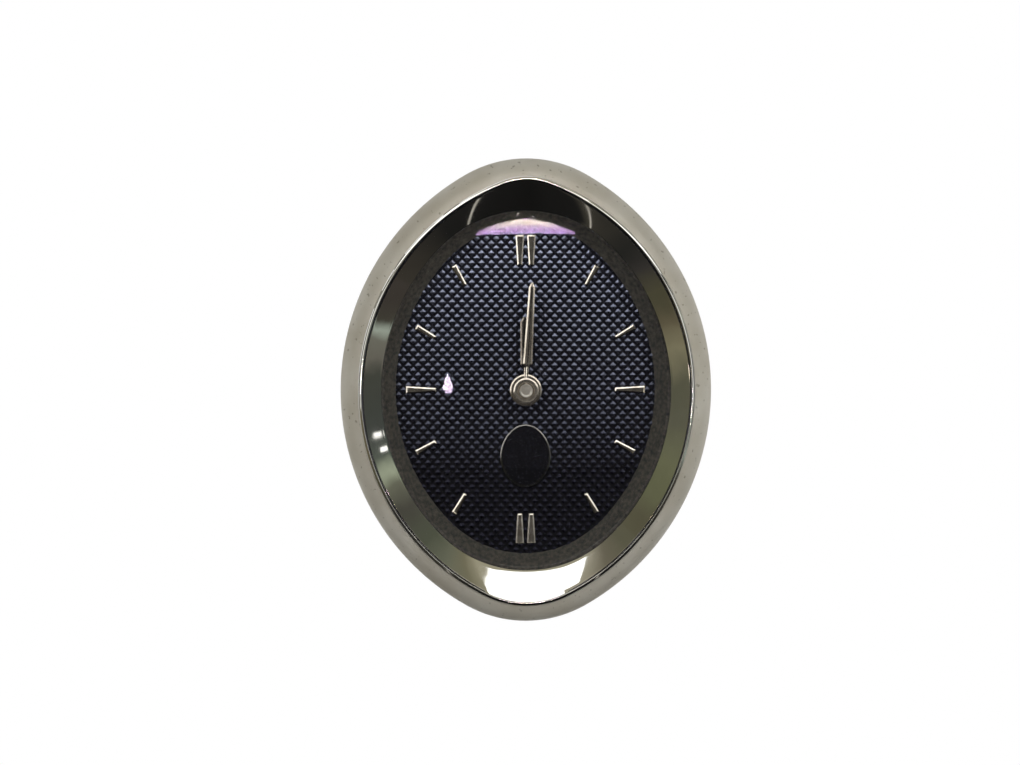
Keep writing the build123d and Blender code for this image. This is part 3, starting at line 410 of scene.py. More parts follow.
world = bpy.data.worlds.new("white_studio")
bpy.context.scene.world = world
world.use_nodes = True
nodes, links = world.node_tree.nodes, world.node_tree.links
nodes.clear()
fill = nodes.new("ShaderNodeBackground")
fill.inputs["Strength"].default_value = world_fill
white = nodes.new("ShaderNodeBackground")
white.inputs["Color"].default_value = (1, 1, 1, 1)
show_by_ray(nodes, links, fill, white, nodes.new("ShaderNodeOutputWorld"))

floor_finish, nodes, links, paint = blank_material("pale_floor")
floor_white = nodes.new("ShaderNodeEmission")
floor_white.inputs["Strength"].default_value = 1.0
paint.inputs["Base Color"].default_value = (0.8, 0.8, 0.8, 1)
paint.inputs["Roughness"].default_value = 0.9
show_by_ray(nodes, links, paint, floor_white, nodes["Material Output"])


def hang_card(name, bm, material, camera_sees=False):
    """Makes a card of the studio from a shape in metres: it shows in reflections only."""
    mesh = mesh_from(name, bm)
    mesh.materials.append(material)
    card = bpy.data.objects.new(name, mesh)
    bpy.context.scene.collection.objects.link(card)
    card.visible_camera = card.visible_shadow = camera_sees
    card.visible_diffuse = card.visible_transmission = camera_sees


def face_to(bm, centre, towards):
    """Moves a flat shape drawn round (0, 0) to its place, facing a point."""
    facing = (Vector(towards) - Vector(centre)).to_track_quat("Z", "Y").to_matrix().to_4x4()
    bmesh.ops.transform(bm, verts=bm.verts, matrix=Matrix.Translation(centre) @ facing)


def stage_card(name, size_x, size_z, centre, along, material, camera_sees=False):
    """A rectangular card that faces the clock's middle along one or more axes."""
    bm = bmesh.new()
    bmesh.ops.create_grid(bm, x_segments=1, y_segments=1, size=0.5)
    bmesh.ops.scale(bm, verts=bm.verts, vec=(size_x, size_z, 1))
    face_to(bm, centre, [0 if axis in along else value for axis, value in zip("XYZ", centre)])
    hang_card(name, bm, material, camera_sees)


stage_card("floor", 6, 6, (0, 0, floor_height), "Z", floor_finish, camera_sees=True)
print("floor", -floor_height, "m below the middle of the dial")

# %% [markdown]
# ## A room to reflect
# Polished metal shows the room around it, and nothing else tells the eye that it is polished.
# Large cards stand round the clock for the walls, floor and ceiling of a dim room. Each has
# bands of colour along one axis, made uneven by a noise, so the polished wall shows soft patches.
# They are seen in reflections only: as real lamps they would light the dial from wrong sides.

# %% Room pictures
def room_picture(name, axis, low, high, stops, ripple=0.0, strength=1.5, seen="always"):
    """A glowing card with bands of colour between two places on an axis, in metres.

    It can be left out for rays that come from behind the glass, or for all the others.
    """
    material, nodes, links, shader = blank_material(name)
    shader.inputs["Base Color"].default_value = (0, 0, 0, 1)
    shader.inputs["Specular IOR Level"].default_value = 0
    shader.inputs["Emission Strength"].default_value = strength
    along = between(nodes, links, place_along(nodes, links, axis), 0, 1, low, high)
    cloud = between(nodes, links, place_noise(nodes, links, 9, 4), -ripple, ripple)
    moved = nodes.new("ShaderNodeMath")
    links.new(along, moved.inputs[0])
    links.new(cloud, moved.inputs[1])
    ramp = nodes.new("ShaderNodeValToRGB")
    bands = ramp.color_ramp
    while len(bands.elements) < len(stops):
        bands.elements.new(0.5)
    for element, (value, colour) in zip(bands.elements, stops):
        element.position = (value - low) / (high - low)
        element.color = tone(*colour)
    links.new(moved.outputs[0], ramp.inputs[0])
    links.new(ramp.outputs[0], shader.inputs["Emission Color"])
    if seen != "always":
        path = nodes.new("ShaderNodeLightPath")
        ends = (0, 1) if seen == "behind the glass" else (1, 0)
        there = between(nodes, links, path.outputs["Transparent Depth"], *ends, 1.5, 2)
        links.new(there, shader.inputs["Alpha"])
    return material


room_behind = room_picture("room_behind", "X", -0.6, 0.6, [
    (-0.4, (98, 96, 92)), (0.0, (106, 105, 102)), (0.4, (100, 99, 96)),
], 0.1, 1.0)
room_floor = room_picture("room_floor", "X", -0.8, 0.8, [
    (-0.64, (93, 87, 71)), (-0.42, (71, 69, 55)), (-0.32, (50, 48, 47)), (-0.25, (36, 36, 35)),
    (-0.18, (50, 48, 44)), (-0.145, (56, 54, 49)), (-0.11, (25, 25, 25)), (0.0, (20, 20, 20)),
    (0.22, (28, 28, 28)), (0.36, (52, 49, 45)), (0.50, (60, 57, 52)), (0.68, (140, 148, 142)),
], 0.012)
room_left = room_picture("room_left", "Z", -0.25, 0.30, [
    (-0.236, (71, 69, 55)), (-0.157, (93, 87, 71)), (-0.093, (118, 114, 94)),
    (-0.034, (85, 85, 72)), (0.033, (89, 89, 77)), (0.098, (102, 104, 82)),
    (0.166, (95, 97, 76)), (0.239, (85, 83, 68)),
], 0.05)
room_right = room_picture("room_right", "Z", -0.25, 0.30, [
    (-0.21, (58, 54, 51)), (-0.165, (62, 60, 54)), (-0.146, (150, 160, 152)),
    (-0.125, (104, 104, 97)), (-0.085, (98, 96, 90)), (-0.06, (63, 65, 60)),
    (0.03, (66, 70, 68)), (0.085, (82, 88, 82)), (0.110, (148, 156, 138)),
    (0.138, (100, 102, 90)), (0.20, (71, 70, 65)), (0.288, (80, 84, 73)),
], 0.03)
room_ceiling = room_picture("room_ceiling", "X", -0.8, 0.8, [
    (-0.71, (95, 97, 76)), (-0.50, (85, 83, 68)), (-0.37, (89, 88, 74)), (-0.28, (104, 100, 88)),
    (-0.20, (150, 146, 132)), (0.18, (150, 146, 128)), (0.24, (111, 108, 90)),
    (0.32, (100, 103, 90)), (0.42, (80, 84, 73)), (0.58, (71, 70, 65)),
], 0.012)
print("pictures for a room of five walls")

# %% [markdown]
# ## Cards of the room
# The pictures hang where the polished wall reflects them, and brighter things hang before them:
# two small windows, the edges of two shelves, and a skylight. The skylight gives the patch at the
# bottom of the wall its outline, so its corners were found by following rays from the camera
# over the wall to the ceiling. The long strip beside it whitens the lip.

# %% Cards
window_white = room_picture(
    "window_white", "Z", -1, 1, [(-1, (250, 250, 250)), (1, (255, 255, 255))], strength=2.4
)
dim_white = room_picture("dim_white", "Y", -0.4, 0, [(-0.4, (150, 146, 140)), (0, (190, 186, 180))])
skylight_height = 0.30
for card in (
    ("room_behind", 1.2, 1.0, (0, -1.1, 0), "Y", room_behind),
    ("room_floor", 1.6, 1.2, (0, -0.40, -0.25), "Z", room_floor),
    ("room_left", 0.32, 0.56, (-0.40, -0.17, 0.02), "X", room_left),
    ("room_right", 0.28, 0.56, (0.40, -0.15, 0.02), "X", room_right),
    ("room_ceiling", 1.6, 0.6, (0, -0.30, skylight_height + 0.002), "Z", room_ceiling),
    ("window", 0.020, 0.008, (0.395, -0.128, 0.044), "X", window_white),
    ("window", 0.020, 0.008, (0.395, -0.139, 0.070), "X", window_white),
    ("shelf_edge", 0.005, 0.3, (0.15, -0.22, -0.245), "Z", dim_white),
    ("shelf_edge", 0.004, 0.3, (-0.143, -0.22, -0.245), "Z", dim_white),
    ("room_corner", 0.9, 0.42, (-0.72, -0.60, -0.32), "XYZ", room_floor),
    ("room_corner", 0.9, 0.42, (0.72, -0.60, -0.32), "XYZ", room_floor),
    ("long_skylight", 1.12, 0.145, (0, -0.3875, skylight_height), "Z", window_white),
):
    stage_card(*card)

skylight_corners = (
    (0.200, -0.262), (0.125, -0.308), (0.10, -0.29), (-0.100, -0.281), (-0.190, -0.215),
    (-0.190, -0.238), (-0.250, -0.238), (-0.250, -0.42), (0.190, -0.42),
)
bm = bmesh.new()
bm.faces.new([bm.verts.new((x, y, skylight_height)) for x, y in skylight_corners])
hang_card("skylight", bm, window_white)

# %% [markdown]
# ## Lamps
# Four large soft lamps round the camera light the paint and the satin ring evenly and stay out
# of the reflections. The studs, the bars and the hands reflect an arch of light round the dial's
# axis, drawn as a short line and spun. Only rays that have passed the glass see it, so it lights
# their upper facets and leaves the bezel alone.

# %% Lamps
lamp_width, lamp_height, lamp_distance = 0.7, 0.5, 0.9
arch_radius, arch_polar, arch_start, arch_end = 0.37, (34, 56), -100, 75

for name, azimuth, elevation, watts in (
    ("soft_top", 0, 25, 2.5), ("soft_low", 0, -50, 0.7), ("soft_left", -55, 0, 2.25),
    ("soft_right", 55, 0, 3.1),
):
    lamp = bpy.data.lights.new(name, "AREA")
    lamp.shape = "RECTANGLE"
    lamp.size, lamp.size_y = lamp_width, lamp_height
    lamp.energy = watts
    panel = bpy.data.objects.new(name, lamp)
    place = Vector(seen_from_dial(azimuth, elevation, lamp_distance))
    panel.location = place
    panel.rotation_mode = "QUATERNION"
    panel.rotation_quaternion = place.to_track_quat("Z", "Y")
    panel.visible_glossy = False
    bpy.context.scene.collection.objects.link(panel)

spark_white = room_picture(
    "spark_white", "Z", -1, 1, [(-1, (255, 255, 255)), (1, (255, 255, 255))], 0, 4.2,
    "behind the glass",
)
bm = bmesh.new()
points = [bm.verts.new(seen_from_dial(0, polar, arch_radius)) for polar in arch_polar]
edge = bm.edges.new(points)
left, right = math.radians(arch_start), math.radians(arch_end)
bmesh.ops.rotate(bm, verts=points, matrix=Matrix.Rotation(left, 3, "Y"))
bmesh.ops.spin(
    bm, geom=points + [edge], cent=(0, 0, 0), axis=(0, 1, 0), dvec=(0, 0, 0), angle=right - left,
    steps=48, use_merge=False,
)
hang_card("light_arch", bm, spark_white)
print("lamps", [lamp.name for lamp in bpy.data.lights])

# %% [markdown]
# ## Trim ring
# The outer ring is die cast and plated in satin nickel. Its crown is one arc in section, carried
# round an oval that changes on the way in from the outer oval to the lip's. The satin comes from
# a fine blasted grain under the plating: two close tones and a broad gloss. Some dust lies on it.

# %% Trim ring
def arc_through(first, middle, last, count):
    """Points on the circle through three points of a section."""
    (ax, ay), (bx, by), (cx, cy) = first, middle, last
    twice = 2 * (ax * (by - cy) + bx * (cy - ay) + cx * (ay - by))
    a, b, c = ax * ax + ay * ay, bx * bx + by * by, cx * cx + cy * cy
    ux = (a * (by - cy) + b * (cy - ay) + c * (ay - by)) / twice
    uy = (a * (cx - bx) + b * (ax - cx) + c * (bx - ax)) / twice
    radius = math.hypot(ax - ux, ay - uy)
    start, end = math.atan2(ay - uy, ax - ux), math.atan2(cy - uy, cx - ux)
    return [
        (ux + radius * math.cos(start + (end - start) * i / count),
         uy + radius * math.sin(start + (end - start) * i / count))
        for i in range(count + 1)
    ]


satin_nickel = finish(
    "satin_nickel", (176, 170, 155), (192, 188, 176), 9, (0.46, 0.56), metal=0.35,
    grain=(0.16, 5), specks=(0.9, (104, 98, 86)),
)
crown_width, crown_height, crown_steps = 3.85, 7.2, 10
lip_edge, trim_back_inset, trim_back_rise, trim_inner_rise = 0.45, -1.8, -2.4, -5.4
crown = arc_through((0, 3.4), (1.5, 5.75), (crown_width, crown_height), crown_steps)


def crown_ring(inset):
    """The oval of the crown at an inset: the outer oval changes into the lip's."""
    return {"ends": ((trim_oval, 0), (lip_oval, lip_edge), inset / crown_width)}


trim_section = [(trim_oval, 0, 0, 0.15)]
trim_section += [(crown_ring(inset), 0, -rise, 0) for inset, rise in crown]
trim_section += [
    (crown_ring(crown_width), 0, trim_inner_rise, 0), (trim_oval, trim_back_inset, trim_back_rise, 0),
    (trim_oval, trim_back_inset, 0, 0.1),
]
bm = bmesh.new()
ring_body(bm, trim_section)
make_piece("trim_crown", bm, satin_nickel, stands_for=["trim_ring"])

# %% [markdown]
# ## Bowl
# Inside the trim ring sits the bowl: a bright lip, a polished wall that runs down to the glass,
# and a skirt behind it. The wall joins two different ovals, so its rings change from one to the
# other. Real polished sheet is never quite flat: a slow wave under the chrome bends reflections.

# %% Bowl
bright_chrome = finish(
    "bright_chrome", (200, 198, 190), (214, 212, 205), 14, (0.03, 0.07), metal=1.0,
    grain=(6, 9),
)
wall_belly, wall_steps = 0.05, 8
lip_profile = (
    (-0.42, 0.35), (-0.40, 0.20), (-0.34, 0.08), (-0.25, 0.01), (-0.16, 0), (-0.10, 0.012),
    (-0.05, 0.03), (0.20, 0.130), (0.27, 0.17), (0.32, 0.24), (0.34, 0.36), (0.34, 0.7),
    (0.30, 2.2),
)
skirt_outer, skirt_inner = 2.4, 0.9
lip_inner, lip_inner_drop = lip_profile[0]
bowl_section = [(glass_oval, 0, ledge_back, 0), (glass_oval, 0, ledge_front, 0.08)]
for step in range(1, wall_steps):
    share = step / wall_steps
    oval = {"ends": ((glass_oval, 0), (lip_oval, lip_inner), share)}
    depth = (1 - share) * ledge_front + share * (lip_crest + lip_inner_drop)
    bowl_section.append((oval, 0, depth + wall_belly * 4 * share * (1 - share), 0))
bowl_section += [(lip_oval, grow, lip_crest + drop, 0) for grow, drop in lip_profile]
bowl_section += [
    (glass_oval, skirt_outer, ledge_back, 0), (glass_oval, skirt_outer, housing_front, 0.1),
    (glass_oval, skirt_inner, housing_front, 0.1), (glass_oval, skirt_inner, ledge_back, 0),
]
bm = bmesh.new()
ring_body(bm, bowl_section)


def screw_boss(bm, centre, radius, hole, front, rear):
    """A boss that stands on the bowl's back, drilled from its rear end."""
    turned(bm, [
        (0, front), (radius, front), (radius, rear), (hole, rear), (hole, front + 0.6),
        (0, front + 0.3),
    ], centre, 32)


dash_boss = ((31.05, 19.4), 2.3, 1.1, -3.33, 0)
case_boss = ((15.46, 38.26), 2.4, 1.0, -4.3, housing_front)
for side in (-1, 1):
    for end in (-1, 1):
        for (x, z), *sizes in (dash_boss, case_boss):
            screw_boss(bm, (side * x, end * z), *sizes)
make_piece(
    "polished_bowl", bm, bright_chrome, stands_for=["bezel_bowl"], crisp=50
)

# %% [markdown]
# ## Lens
# The lens is a shallow dome with a flat rim. It curves more across than down, so each of its
# points takes its depth from two arcs. The glass is thin and coated: most light goes straight
# through, and the coating sends back a little of it, tinted violet. The glass is nearly clear
# by its alpha, which grows with the viewing angle: that keeps the dial lit, where real refraction
# would darken it. Only the outer face is coated, and the inner one reflects far less.

# %% Lens
lens_rise, lens_thickness, dome_steps = rim_front - lens_apex, 1.5, 22
rim_grow, dome_inset, hollow_inset = 0.8, -0.3, -0.5
dome_half_x, dome_half_z = glass_half_width + dome_inset, glass_half_height + dome_inset
dome_radius_x = (dome_half_x**2 + lens_rise**2) / (2 * lens_rise)
dome_radius_z = (dome_half_z**2 + lens_rise**2) / (2 * lens_rise)


def dome_depth(inside):
    """Depth of the dome's outer or inner face at a place on the glass."""
    radius_x, radius_z = dome_radius_x - inside, dome_radius_z - inside

    def depth(x, z):
        around = radius_x - (radius_z - math.sqrt(radius_z**2 - z * z))
        return lens_apex + inside + radius_x - math.sqrt(around**2 - x * x)
    return depth


bm = bmesh.new()
rim = first_ring(bm, glass_oval, rim_grow, rim_back)
outer = next_ring(bm, rim, glass_oval, rim_grow, rim_front)
outer = next_ring(bm, outer, glass_oval, dome_inset, rim_front)
inner = next_ring(bm, rim, glass_oval, hollow_inset, rim_back)
for edges, grow, inside in ((outer, dome_inset, 0), (inner, hollow_inset, lens_thickness)):
    for step in range(dome_steps):
        share = 1 - step / dome_steps
        edges = next_ring(bm, edges, glass_oval, grow, dome_depth(inside), share)
    close_to_pole(bm, edges)

coated_glass, nodes, links, shader = blank_material("coated_glass")
shader.inputs["Specular IOR Level"].default_value = 1.0
shader.inputs["Specular Tint"].default_value = (0.82, 0.74, 1.0, 1)
smear = place_noise(nodes, links, 60, 4)
links.new(
    mixed(nodes, links, smear, tone(10, 10, 14), tone(22, 22, 30)), shader.inputs["Base Color"]
)
links.new(between(nodes, links, smear, 0.012, 0.025), shader.inputs["Roughness"])
facing = nodes.new("ShaderNodeLayerWeight")
facing.inputs["Blend"].default_value = 0.25
opaque = between(nodes, links, facing.outputs["Facing"], 0.10, 0.75, 0, 0.8)
links.new(opaque, shader.inputs["Alpha"])
lens = make_piece("domed_lens", bm, coated_glass, stands_for=["lens"])
bare_glass = coated_glass.copy()
bare_glass.name = "bare_glass"
bare_glass.node_tree.nodes["Principled BSDF"].inputs["Specular IOR Level"].default_value = 0.1
second_finish(lens, bare_glass, lambda face: face.normal.y > 0.1)

# %% [markdown]
# ## The window in the glass
# The brightest mark on the glass is one window high above the camera, cut off by its sill: flat
# below, round above, lilac low down and cream at the top. A short flame of light lies at the left.
# The coating sends back so little that both cards must be very bright, so they are switched off
# for rays that have been through the glass, or they would spark on every bar and stud as well.

# %% Window and flame
def glow_at(name, bm, azimuth, elevation, material):
    """Hangs a shape a metre from the dial, facing it."""
    face_to(bm, seen_from_dial(azimuth, elevation, 1.0), (0, 0, 0))
    hang_card(name, bm, material)


window_azimuth, window_elevation = 2.1, 17.6
window_chord, window_height = 0.170, 0.0325
window_radius = (window_chord**2 + window_height**2) / (2 * window_height)
sill = window_radius - window_height
bm = bmesh.new()
bmesh.ops.create_circle(bm, cap_ends=True, segments=160, radius=window_radius)
bmesh.ops.bisect_plane(
    bm, geom=list(bm.verts) + list(bm.edges) + list(bm.faces), plane_co=(0, sill, 0),
    plane_no=(0, 1, 0), clear_inner=True,
)
bmesh.ops.translate(bm, verts=bm.verts, vec=(0, -sill, 0))
sill_height = math.sin(math.radians(window_elevation))
window_glow = room_picture("window_glow", "Z", sill_height, sill_height + 0.031, [
    (sill_height, (160, 137, 166)), (sill_height + 0.010, (180, 156, 180)),
    (sill_height + 0.019, (214, 200, 186)), (sill_height + 0.027, (255, 248, 190)),
], 0.05, 165, "in front of the glass")
glow_at("arched_window", bm, window_azimuth, window_elevation, window_glow)

flame_azimuth, flame_elevation, flame_reach = -12.7, -2.6, 0.024
flame_tip, flame_spread = 0.30, 0.28
bm = bmesh.new()
bmesh.ops.create_circle(bm, cap_ends=True, segments=48, radius=flame_reach)
for point in bm.verts:
    point.co.x *= flame_tip + flame_spread * (1 - point.co.y / flame_reach)
flame_glow = room_picture("flame_glow", "Z", -0.07, -0.02, [
    (-0.07, (214, 196, 214)), (-0.045, (246, 240, 226)), (-0.02, (236, 226, 222)),
], 0.05, 170, "in front of the glass")
glow_at("flame", bm, flame_azimuth, flame_elevation, flame_glow)
print("window", 2 * window_chord, "m wide, a metre away")

# %% [markdown]
# ## Mask ring and gasket
# Behind the glass a dark moulded ring narrows to the dial and hides the edge of it. Its slope
# is moulded with a coarse grain that shows as brown and grey mottling.

# %% Mask ring and gasket
mask_plastic = finish(
    "mask_plastic", (70, 69, 66), (112, 107, 94), 0.8, (0.4, 0.6), grain=(0.35, 14),
)
seal_rubber = finish(
    "seal_rubber", (24, 24, 25), (40, 40, 41), 2, (0.6, 0.8), grain=(0.3, 10)
)
mask_top, mask_foot = -0.4, -3.0
bm = bmesh.new()
ring_body(bm, [(glass_oval, grow, depth, edge) for grow, depth, edge in (
    (rim_grow, rim_back, 0), (rim_grow, dial_front, 0), (mask_foot, dial_front, 0),
    (mask_top, rim_back, 0.1),
)])
make_piece("mask_slope", bm, mask_plastic, stands_for=["mask_ring"])
bm = bmesh.new()
ring_body(bm, [(glass_oval, grow, depth, 0.08) for grow, depth in (
    (rim_grow, ledge_back), (rim_grow, rim_front), (0.0, rim_front), (0.0, ledge_back),
)])
make_piece("glass_gasket", bm, seal_rubber, stands_for=["lens_gasket"])

# %% [markdown]
# ## Dial with its clous-de-Paris relief
# The dial is stamped with small pyramids on a grid that stands on its corner. A bump map would
# look flat at the edges of the glass, so the pyramids are real: a grid is turned by 45 degrees,
# cut to the oval, given a little thickness, and each square is inset and poked up to a point.
# Each pyramid has only nine faces. Their paint is a dark blue with a metallic sheen, with painted shade
# that darkens it towards the lower half, where less light falls from above; the grooves between them
# are painted darker and matt, as painted shade between the studs.

# %% Dial relief
stud_pitch, stud_height, stud_gap, squares = 1.5, 0.20, 0.55, 60
relief_grow, relief_rise, relief_thickness = -2.3, 0.02, 0.1
# painted shade: the heights in metres over which the dial's paint goes from its dark lower tone to its
# light upper tones
painted_shade_between = (-0.018, 0.040)
bm = bmesh.new()
bmesh.ops.create_grid(bm, x_segments=squares, y_segments=squares, size=stud_pitch * squares / 2)
bmesh.ops.rotate(bm, verts=bm.verts, matrix=Matrix.Rotation(math.radians(45), 3, "Z"))
bmesh.ops.rotate(bm, verts=bm.verts, matrix=Matrix.Rotation(math.radians(90), 3, "X"))
outside = []
for face in bm.faces:
    middle = face.calc_center_median()
    angle = math.atan2(middle.z, middle.x)
    if math.hypot(middle.x, middle.z) > reach(glass_oval, relief_grow, angle):
        outside.append(face)
bmesh.ops.delete(bm, geom=outside, context="FACES")
bmesh.ops.translate(bm, verts=bm.verts, vec=(0, dial_front - relief_rise, 0))
bmesh.ops.solidify(bm, geom=list(bm.faces), thickness=relief_thickness)
bmesh.ops.recalc_face_normals(bm, faces=bm.faces)
bm.faces.ensure_lookup_table()
fronts = [face for face in bm.faces if face.normal.y < -0.9]
bmesh.ops.inset_individual(bm, faces=fronts, thickness=stud_gap / 2, depth=0, use_even_offset=True)
bmesh.ops.poke(bm, faces=fronts, offset=stud_height)
print(len(fronts), "studs on the dial")


def dial_finish_with_painted_shade(name, low, upper_dark, upper_light, metal, gloss):
    """Paint with painted shade: light tones at the top of the dial and a dark tone towards the bottom,
    for the light from above.
    """
    material, nodes, links, shader = blank_material(name)
    shader.inputs["Metallic"].default_value = metal
    shader.inputs["Specular IOR Level"].default_value = 0.2
    # painted shade: the base colour darkens towards the bottom of the dial, standing in for the light
    # that falls from above
    painted_shade = between(nodes, links, place_along(nodes, links, "Z"), 0, 1, *painted_shade_between)
    cloud = place_noise(nodes, links, 260, 3)
    upper = mixed(nodes, links, cloud, tone(*upper_dark), tone(*upper_light))
    links.new(mixed(nodes, links, painted_shade, tone(*low), upper), shader.inputs["Base Color"])
    links.new(between(nodes, links, cloud, *gloss), shader.inputs["Roughness"])
    return material


# painted shade: a dark tone for the lower dial and lit tones for the upper dial
dial_paint = dial_finish_with_painted_shade(
    "dial_paint", (36, 36, 44), (118, 124, 144), (150, 155, 172), 1.0, (0.26, 0.36)
)
# painted shade: the grooves between the studs get a darker matt paint that stands in for the shade
# between them
groove_painted_shade = dial_finish_with_painted_shade(
    "groove_painted_shade", (7, 7, 11), (11, 12, 24), (18, 19, 32), 0.0, (0.5, 0.6)
)
relief = make_piece("dial_relief", bm, dial_paint, crisp=12)
second_finish(relief, groove_painted_shade, lambda face: abs(face.normal.y) > 0.98)

# %% [markdown]
# ## Medallion
# Below the hands a blank oval medallion lies in the dial. It is dark enamel, slightly domed,
# with a thin bright edge that shows along its upper side.

# %% Medallion
medallion_oval = four_arcs(5.5, 6.9, 1.3)
medallion_drop, medallion_points = 14.5, 96
enamel_inset, enamel_rise, enamel_dome, enamel_reach = -0.5, 0.40, 0.1, 6.2
rim_middle = -0.3
medallion_back = dial_front + 0.3
medallion_enamel = finish(
    "medallion_enamel", (9, 10, 15), (16, 17, 24), 2.4, (0.16, 0.28),
)


def enamel_depth(x, z):
    """Depth of the slightly domed enamel."""
    return dial_front - enamel_rise - enamel_dome * (1 - (x * x + z * z) / enamel_reach**2)


bm = bmesh.new()
edges = back_edges = first_ring(bm, medallion_oval, 0, medallion_back, medallion_points)
for grow, rise in ((0, 0.42), (-0.2, 0.51), (-0.35, 0.51), (enamel_inset, enamel_rise)):
    edges = next_ring(bm, edges, medallion_oval, grow, dial_front - rise)
for share in (0.75, 0.5, 0.25, 0.05):
    edges = next_ring(bm, edges, medallion_oval, enamel_inset, enamel_depth, share)
close_to_pole(bm, edges)
close_to_pole(bm, next_ring(bm, back_edges, medallion_oval, 0, medallion_back, 0.05))
for face in bm.faces:
    middle = face.calc_center_median()
    rim = reach(medallion_oval, rim_middle, math.atan2(middle.z, middle.x))
    face.material_index = 1 if math.hypot(middle.x, middle.z) > rim else 0
bmesh.ops.translate(bm, verts=bm.verts, vec=(0, 0, -medallion_drop))
medallion = make_piece(
    "blank_medallion", bm, medallion_enamel, stands_for=["dial_medallion"],
    crisp=12,
)
medallion.data.materials.append(finish(
    "medallion_rim", (98, 97, 94), (128, 126, 120), 1.0, (0.1, 0.2), metal=1.0
))

# %% [markdown]
# ## Hour bars
# The applied bars are cut from bright bar stock: wide outside and narrow inside, with a chamfer
# round a flat top. The chamfers catch the light differently, which outlines each bar. Each starts
# as a cube, is drawn to its taper, and has its top face inset and raised.

# %% Hour bars
bar_chrome = finish(
    "bar_chrome", (190, 182, 168), (222, 215, 202), 1.2, (0.07, 0.14), metal=1.0,
    grain=(0.3, 0.6),
)
bar_inset, bar_rise, bar_foot, bar_top = 5.2, 0.5, 0.05, 0.4
bar_chamfer, bar_chamfer_rise = 0.27, 0.113
bar_track = (glass_half_width - bar_inset, glass_half_height - bar_inset)
quarter_bar, hour_bar, pair_bar, pair_shift = (6.5, 0.8, 1.6), (4.8, 0.75, 1.15), (6.5, 1.05, 1.85), 1.25
bars = []
for hour in range(1, 12):
    if hour in (3, 9):
        bars.append((30 * hour, 0, *quarter_bar))
    elif hour != 6:
        bars.append((30 * hour, 0, *hour_bar))
for angle in (0, 180):
    bars += [(angle, side * pair_shift, *pair_bar) for side in (-1, 1)]


def join_in(bm, small):
    """Adds a small mesh that was made and placed by itself to a larger one."""
    mesh = mesh_from("small", small)
    bm.from_mesh(mesh)
    bpy.data.meshes.remove(mesh)


def add_bar(bm, angle, shift, length, inner, outer):
    """One bar, drawn upright with its outer end at the top, then turned to its hour."""
    turn = math.radians(angle)
    far = bar_track[0] * bar_track[1] / math.hypot(
        bar_track[1] * math.sin(turn), bar_track[0] * math.cos(turn)
    )
    bar = bmesh.new()
    for point in bmesh.ops.create_cube(bar, size=1)["verts"]:
        point.co.x *= inner if point.co.z < 0 else outer
        point.co.z = (point.co.z - 0.5) * length
        point.co.y = dial_front + (-bar_rise if point.co.y < 0 else bar_foot)
    top = [face for face in bar.faces if face.calc_center_median().y < dial_front - bar_top]
    bmesh.ops.recalc_face_normals(bar, faces=bar.faces)
    bmesh.ops.inset_region(
        bar, faces=top, thickness=bar_chamfer, depth=bar_chamfer_rise, use_even_offset=True,
        use_boundary=True,
    )
    bmesh.ops.translate(bar, verts=bar.verts, vec=(shift, 0, 0))
    bmesh.ops.rotate(bar, verts=bar.verts, matrix=Matrix.Rotation(turn, 3, "Y"))
    place = (far * math.sin(turn), 0, far * math.cos(turn))
    bmesh.ops.translate(bar, verts=bar.verts, vec=place)
    join_in(bm, bar)


bm = bmesh.new()
for bar in bars:
    add_bar(bm, *bar)
make_piece(
    "hour_bars", bm, bar_chrome, stands_for=["hour_markers"], crisp=12
)

# %% [markdown]
# ## Hands
# Each hand is stamped from bright strip: a round hub, a thin neck and a blade that is widest
# near the hub. The blade's outline is extruded and its front is inset and raised, and the chamfer
# round it gives the bright lines along the blade. The hub is turned, in a satin of its own. The
# hour hand lies in the shade of the minute hand, and that shade is painted into its metal as darker
# tones.

# %% Hands
neck_half, neck_start, neck_end, blade_point, point_half = 0.25, 1.5, 0.7, 1.0, 0.12
blade_thickness, blade_lift, blade_chamfer, blade_rise = 0.35, 0.9, 0.34, 0.142
hand_metal = finish(
    "hand_metal", (150, 140, 126), (220, 211, 196), 0.9, (0.12, 0.22), metal=0.9,
    grain=(0.25, 0.6), stretch=(1, 1, 0.12),
)
hub_metal = finish(
    "hub_metal", (190, 180, 166), (202, 193, 179), 3.0, (0.14, 0.2), metal=0.78,
)


def satin_hub(piece, radius):
    """Gives the turned hub of a hand its own satin, without the blade's drawn streaks."""
    second_finish(
        piece, hub_metal, lambda face: math.hypot(face.center.x, face.center.z) / MM < radius
    )


def add_blade(bm, angle, start, length, base, tip, front):
    """A neck and a flat blade with a pointed end and a chamfer round its front, at an angle."""
    right = [
        (neck_half, neck_start), (neck_half, start - neck_end), (base / 2, start),
        (tip / 2, length - blade_point), (point_half, length),
    ]
    outline = [(-neck_half, neck_start)] + right + [(-x, z) for x, z in right[:0:-1]]
    blade = bmesh.new()
    points = [blade.verts.new((x, front + blade_thickness, z)) for x, z in outline]
    made = bmesh.ops.extrude_face_region(blade, geom=[blade.faces.new(points)])["geom"]
    moved = [part for part in made if isinstance(part, bmesh.types.BMVert)]
    bmesh.ops.translate(blade, verts=moved, vec=(0, -blade_thickness, 0))
    top = [part for part in made if isinstance(part, bmesh.types.BMFace)]
    bmesh.ops.recalc_face_normals(blade, faces=blade.faces)
    bmesh.ops.inset_region(
        blade, faces=top, thickness=blade_chamfer, depth=blade_rise, use_even_offset=True
    )
    turn = Matrix.Rotation(math.radians(angle), 3, "Y")
    bmesh.ops.rotate(blade, verts=blade.verts, matrix=turn)
    join_in(bm, blade)


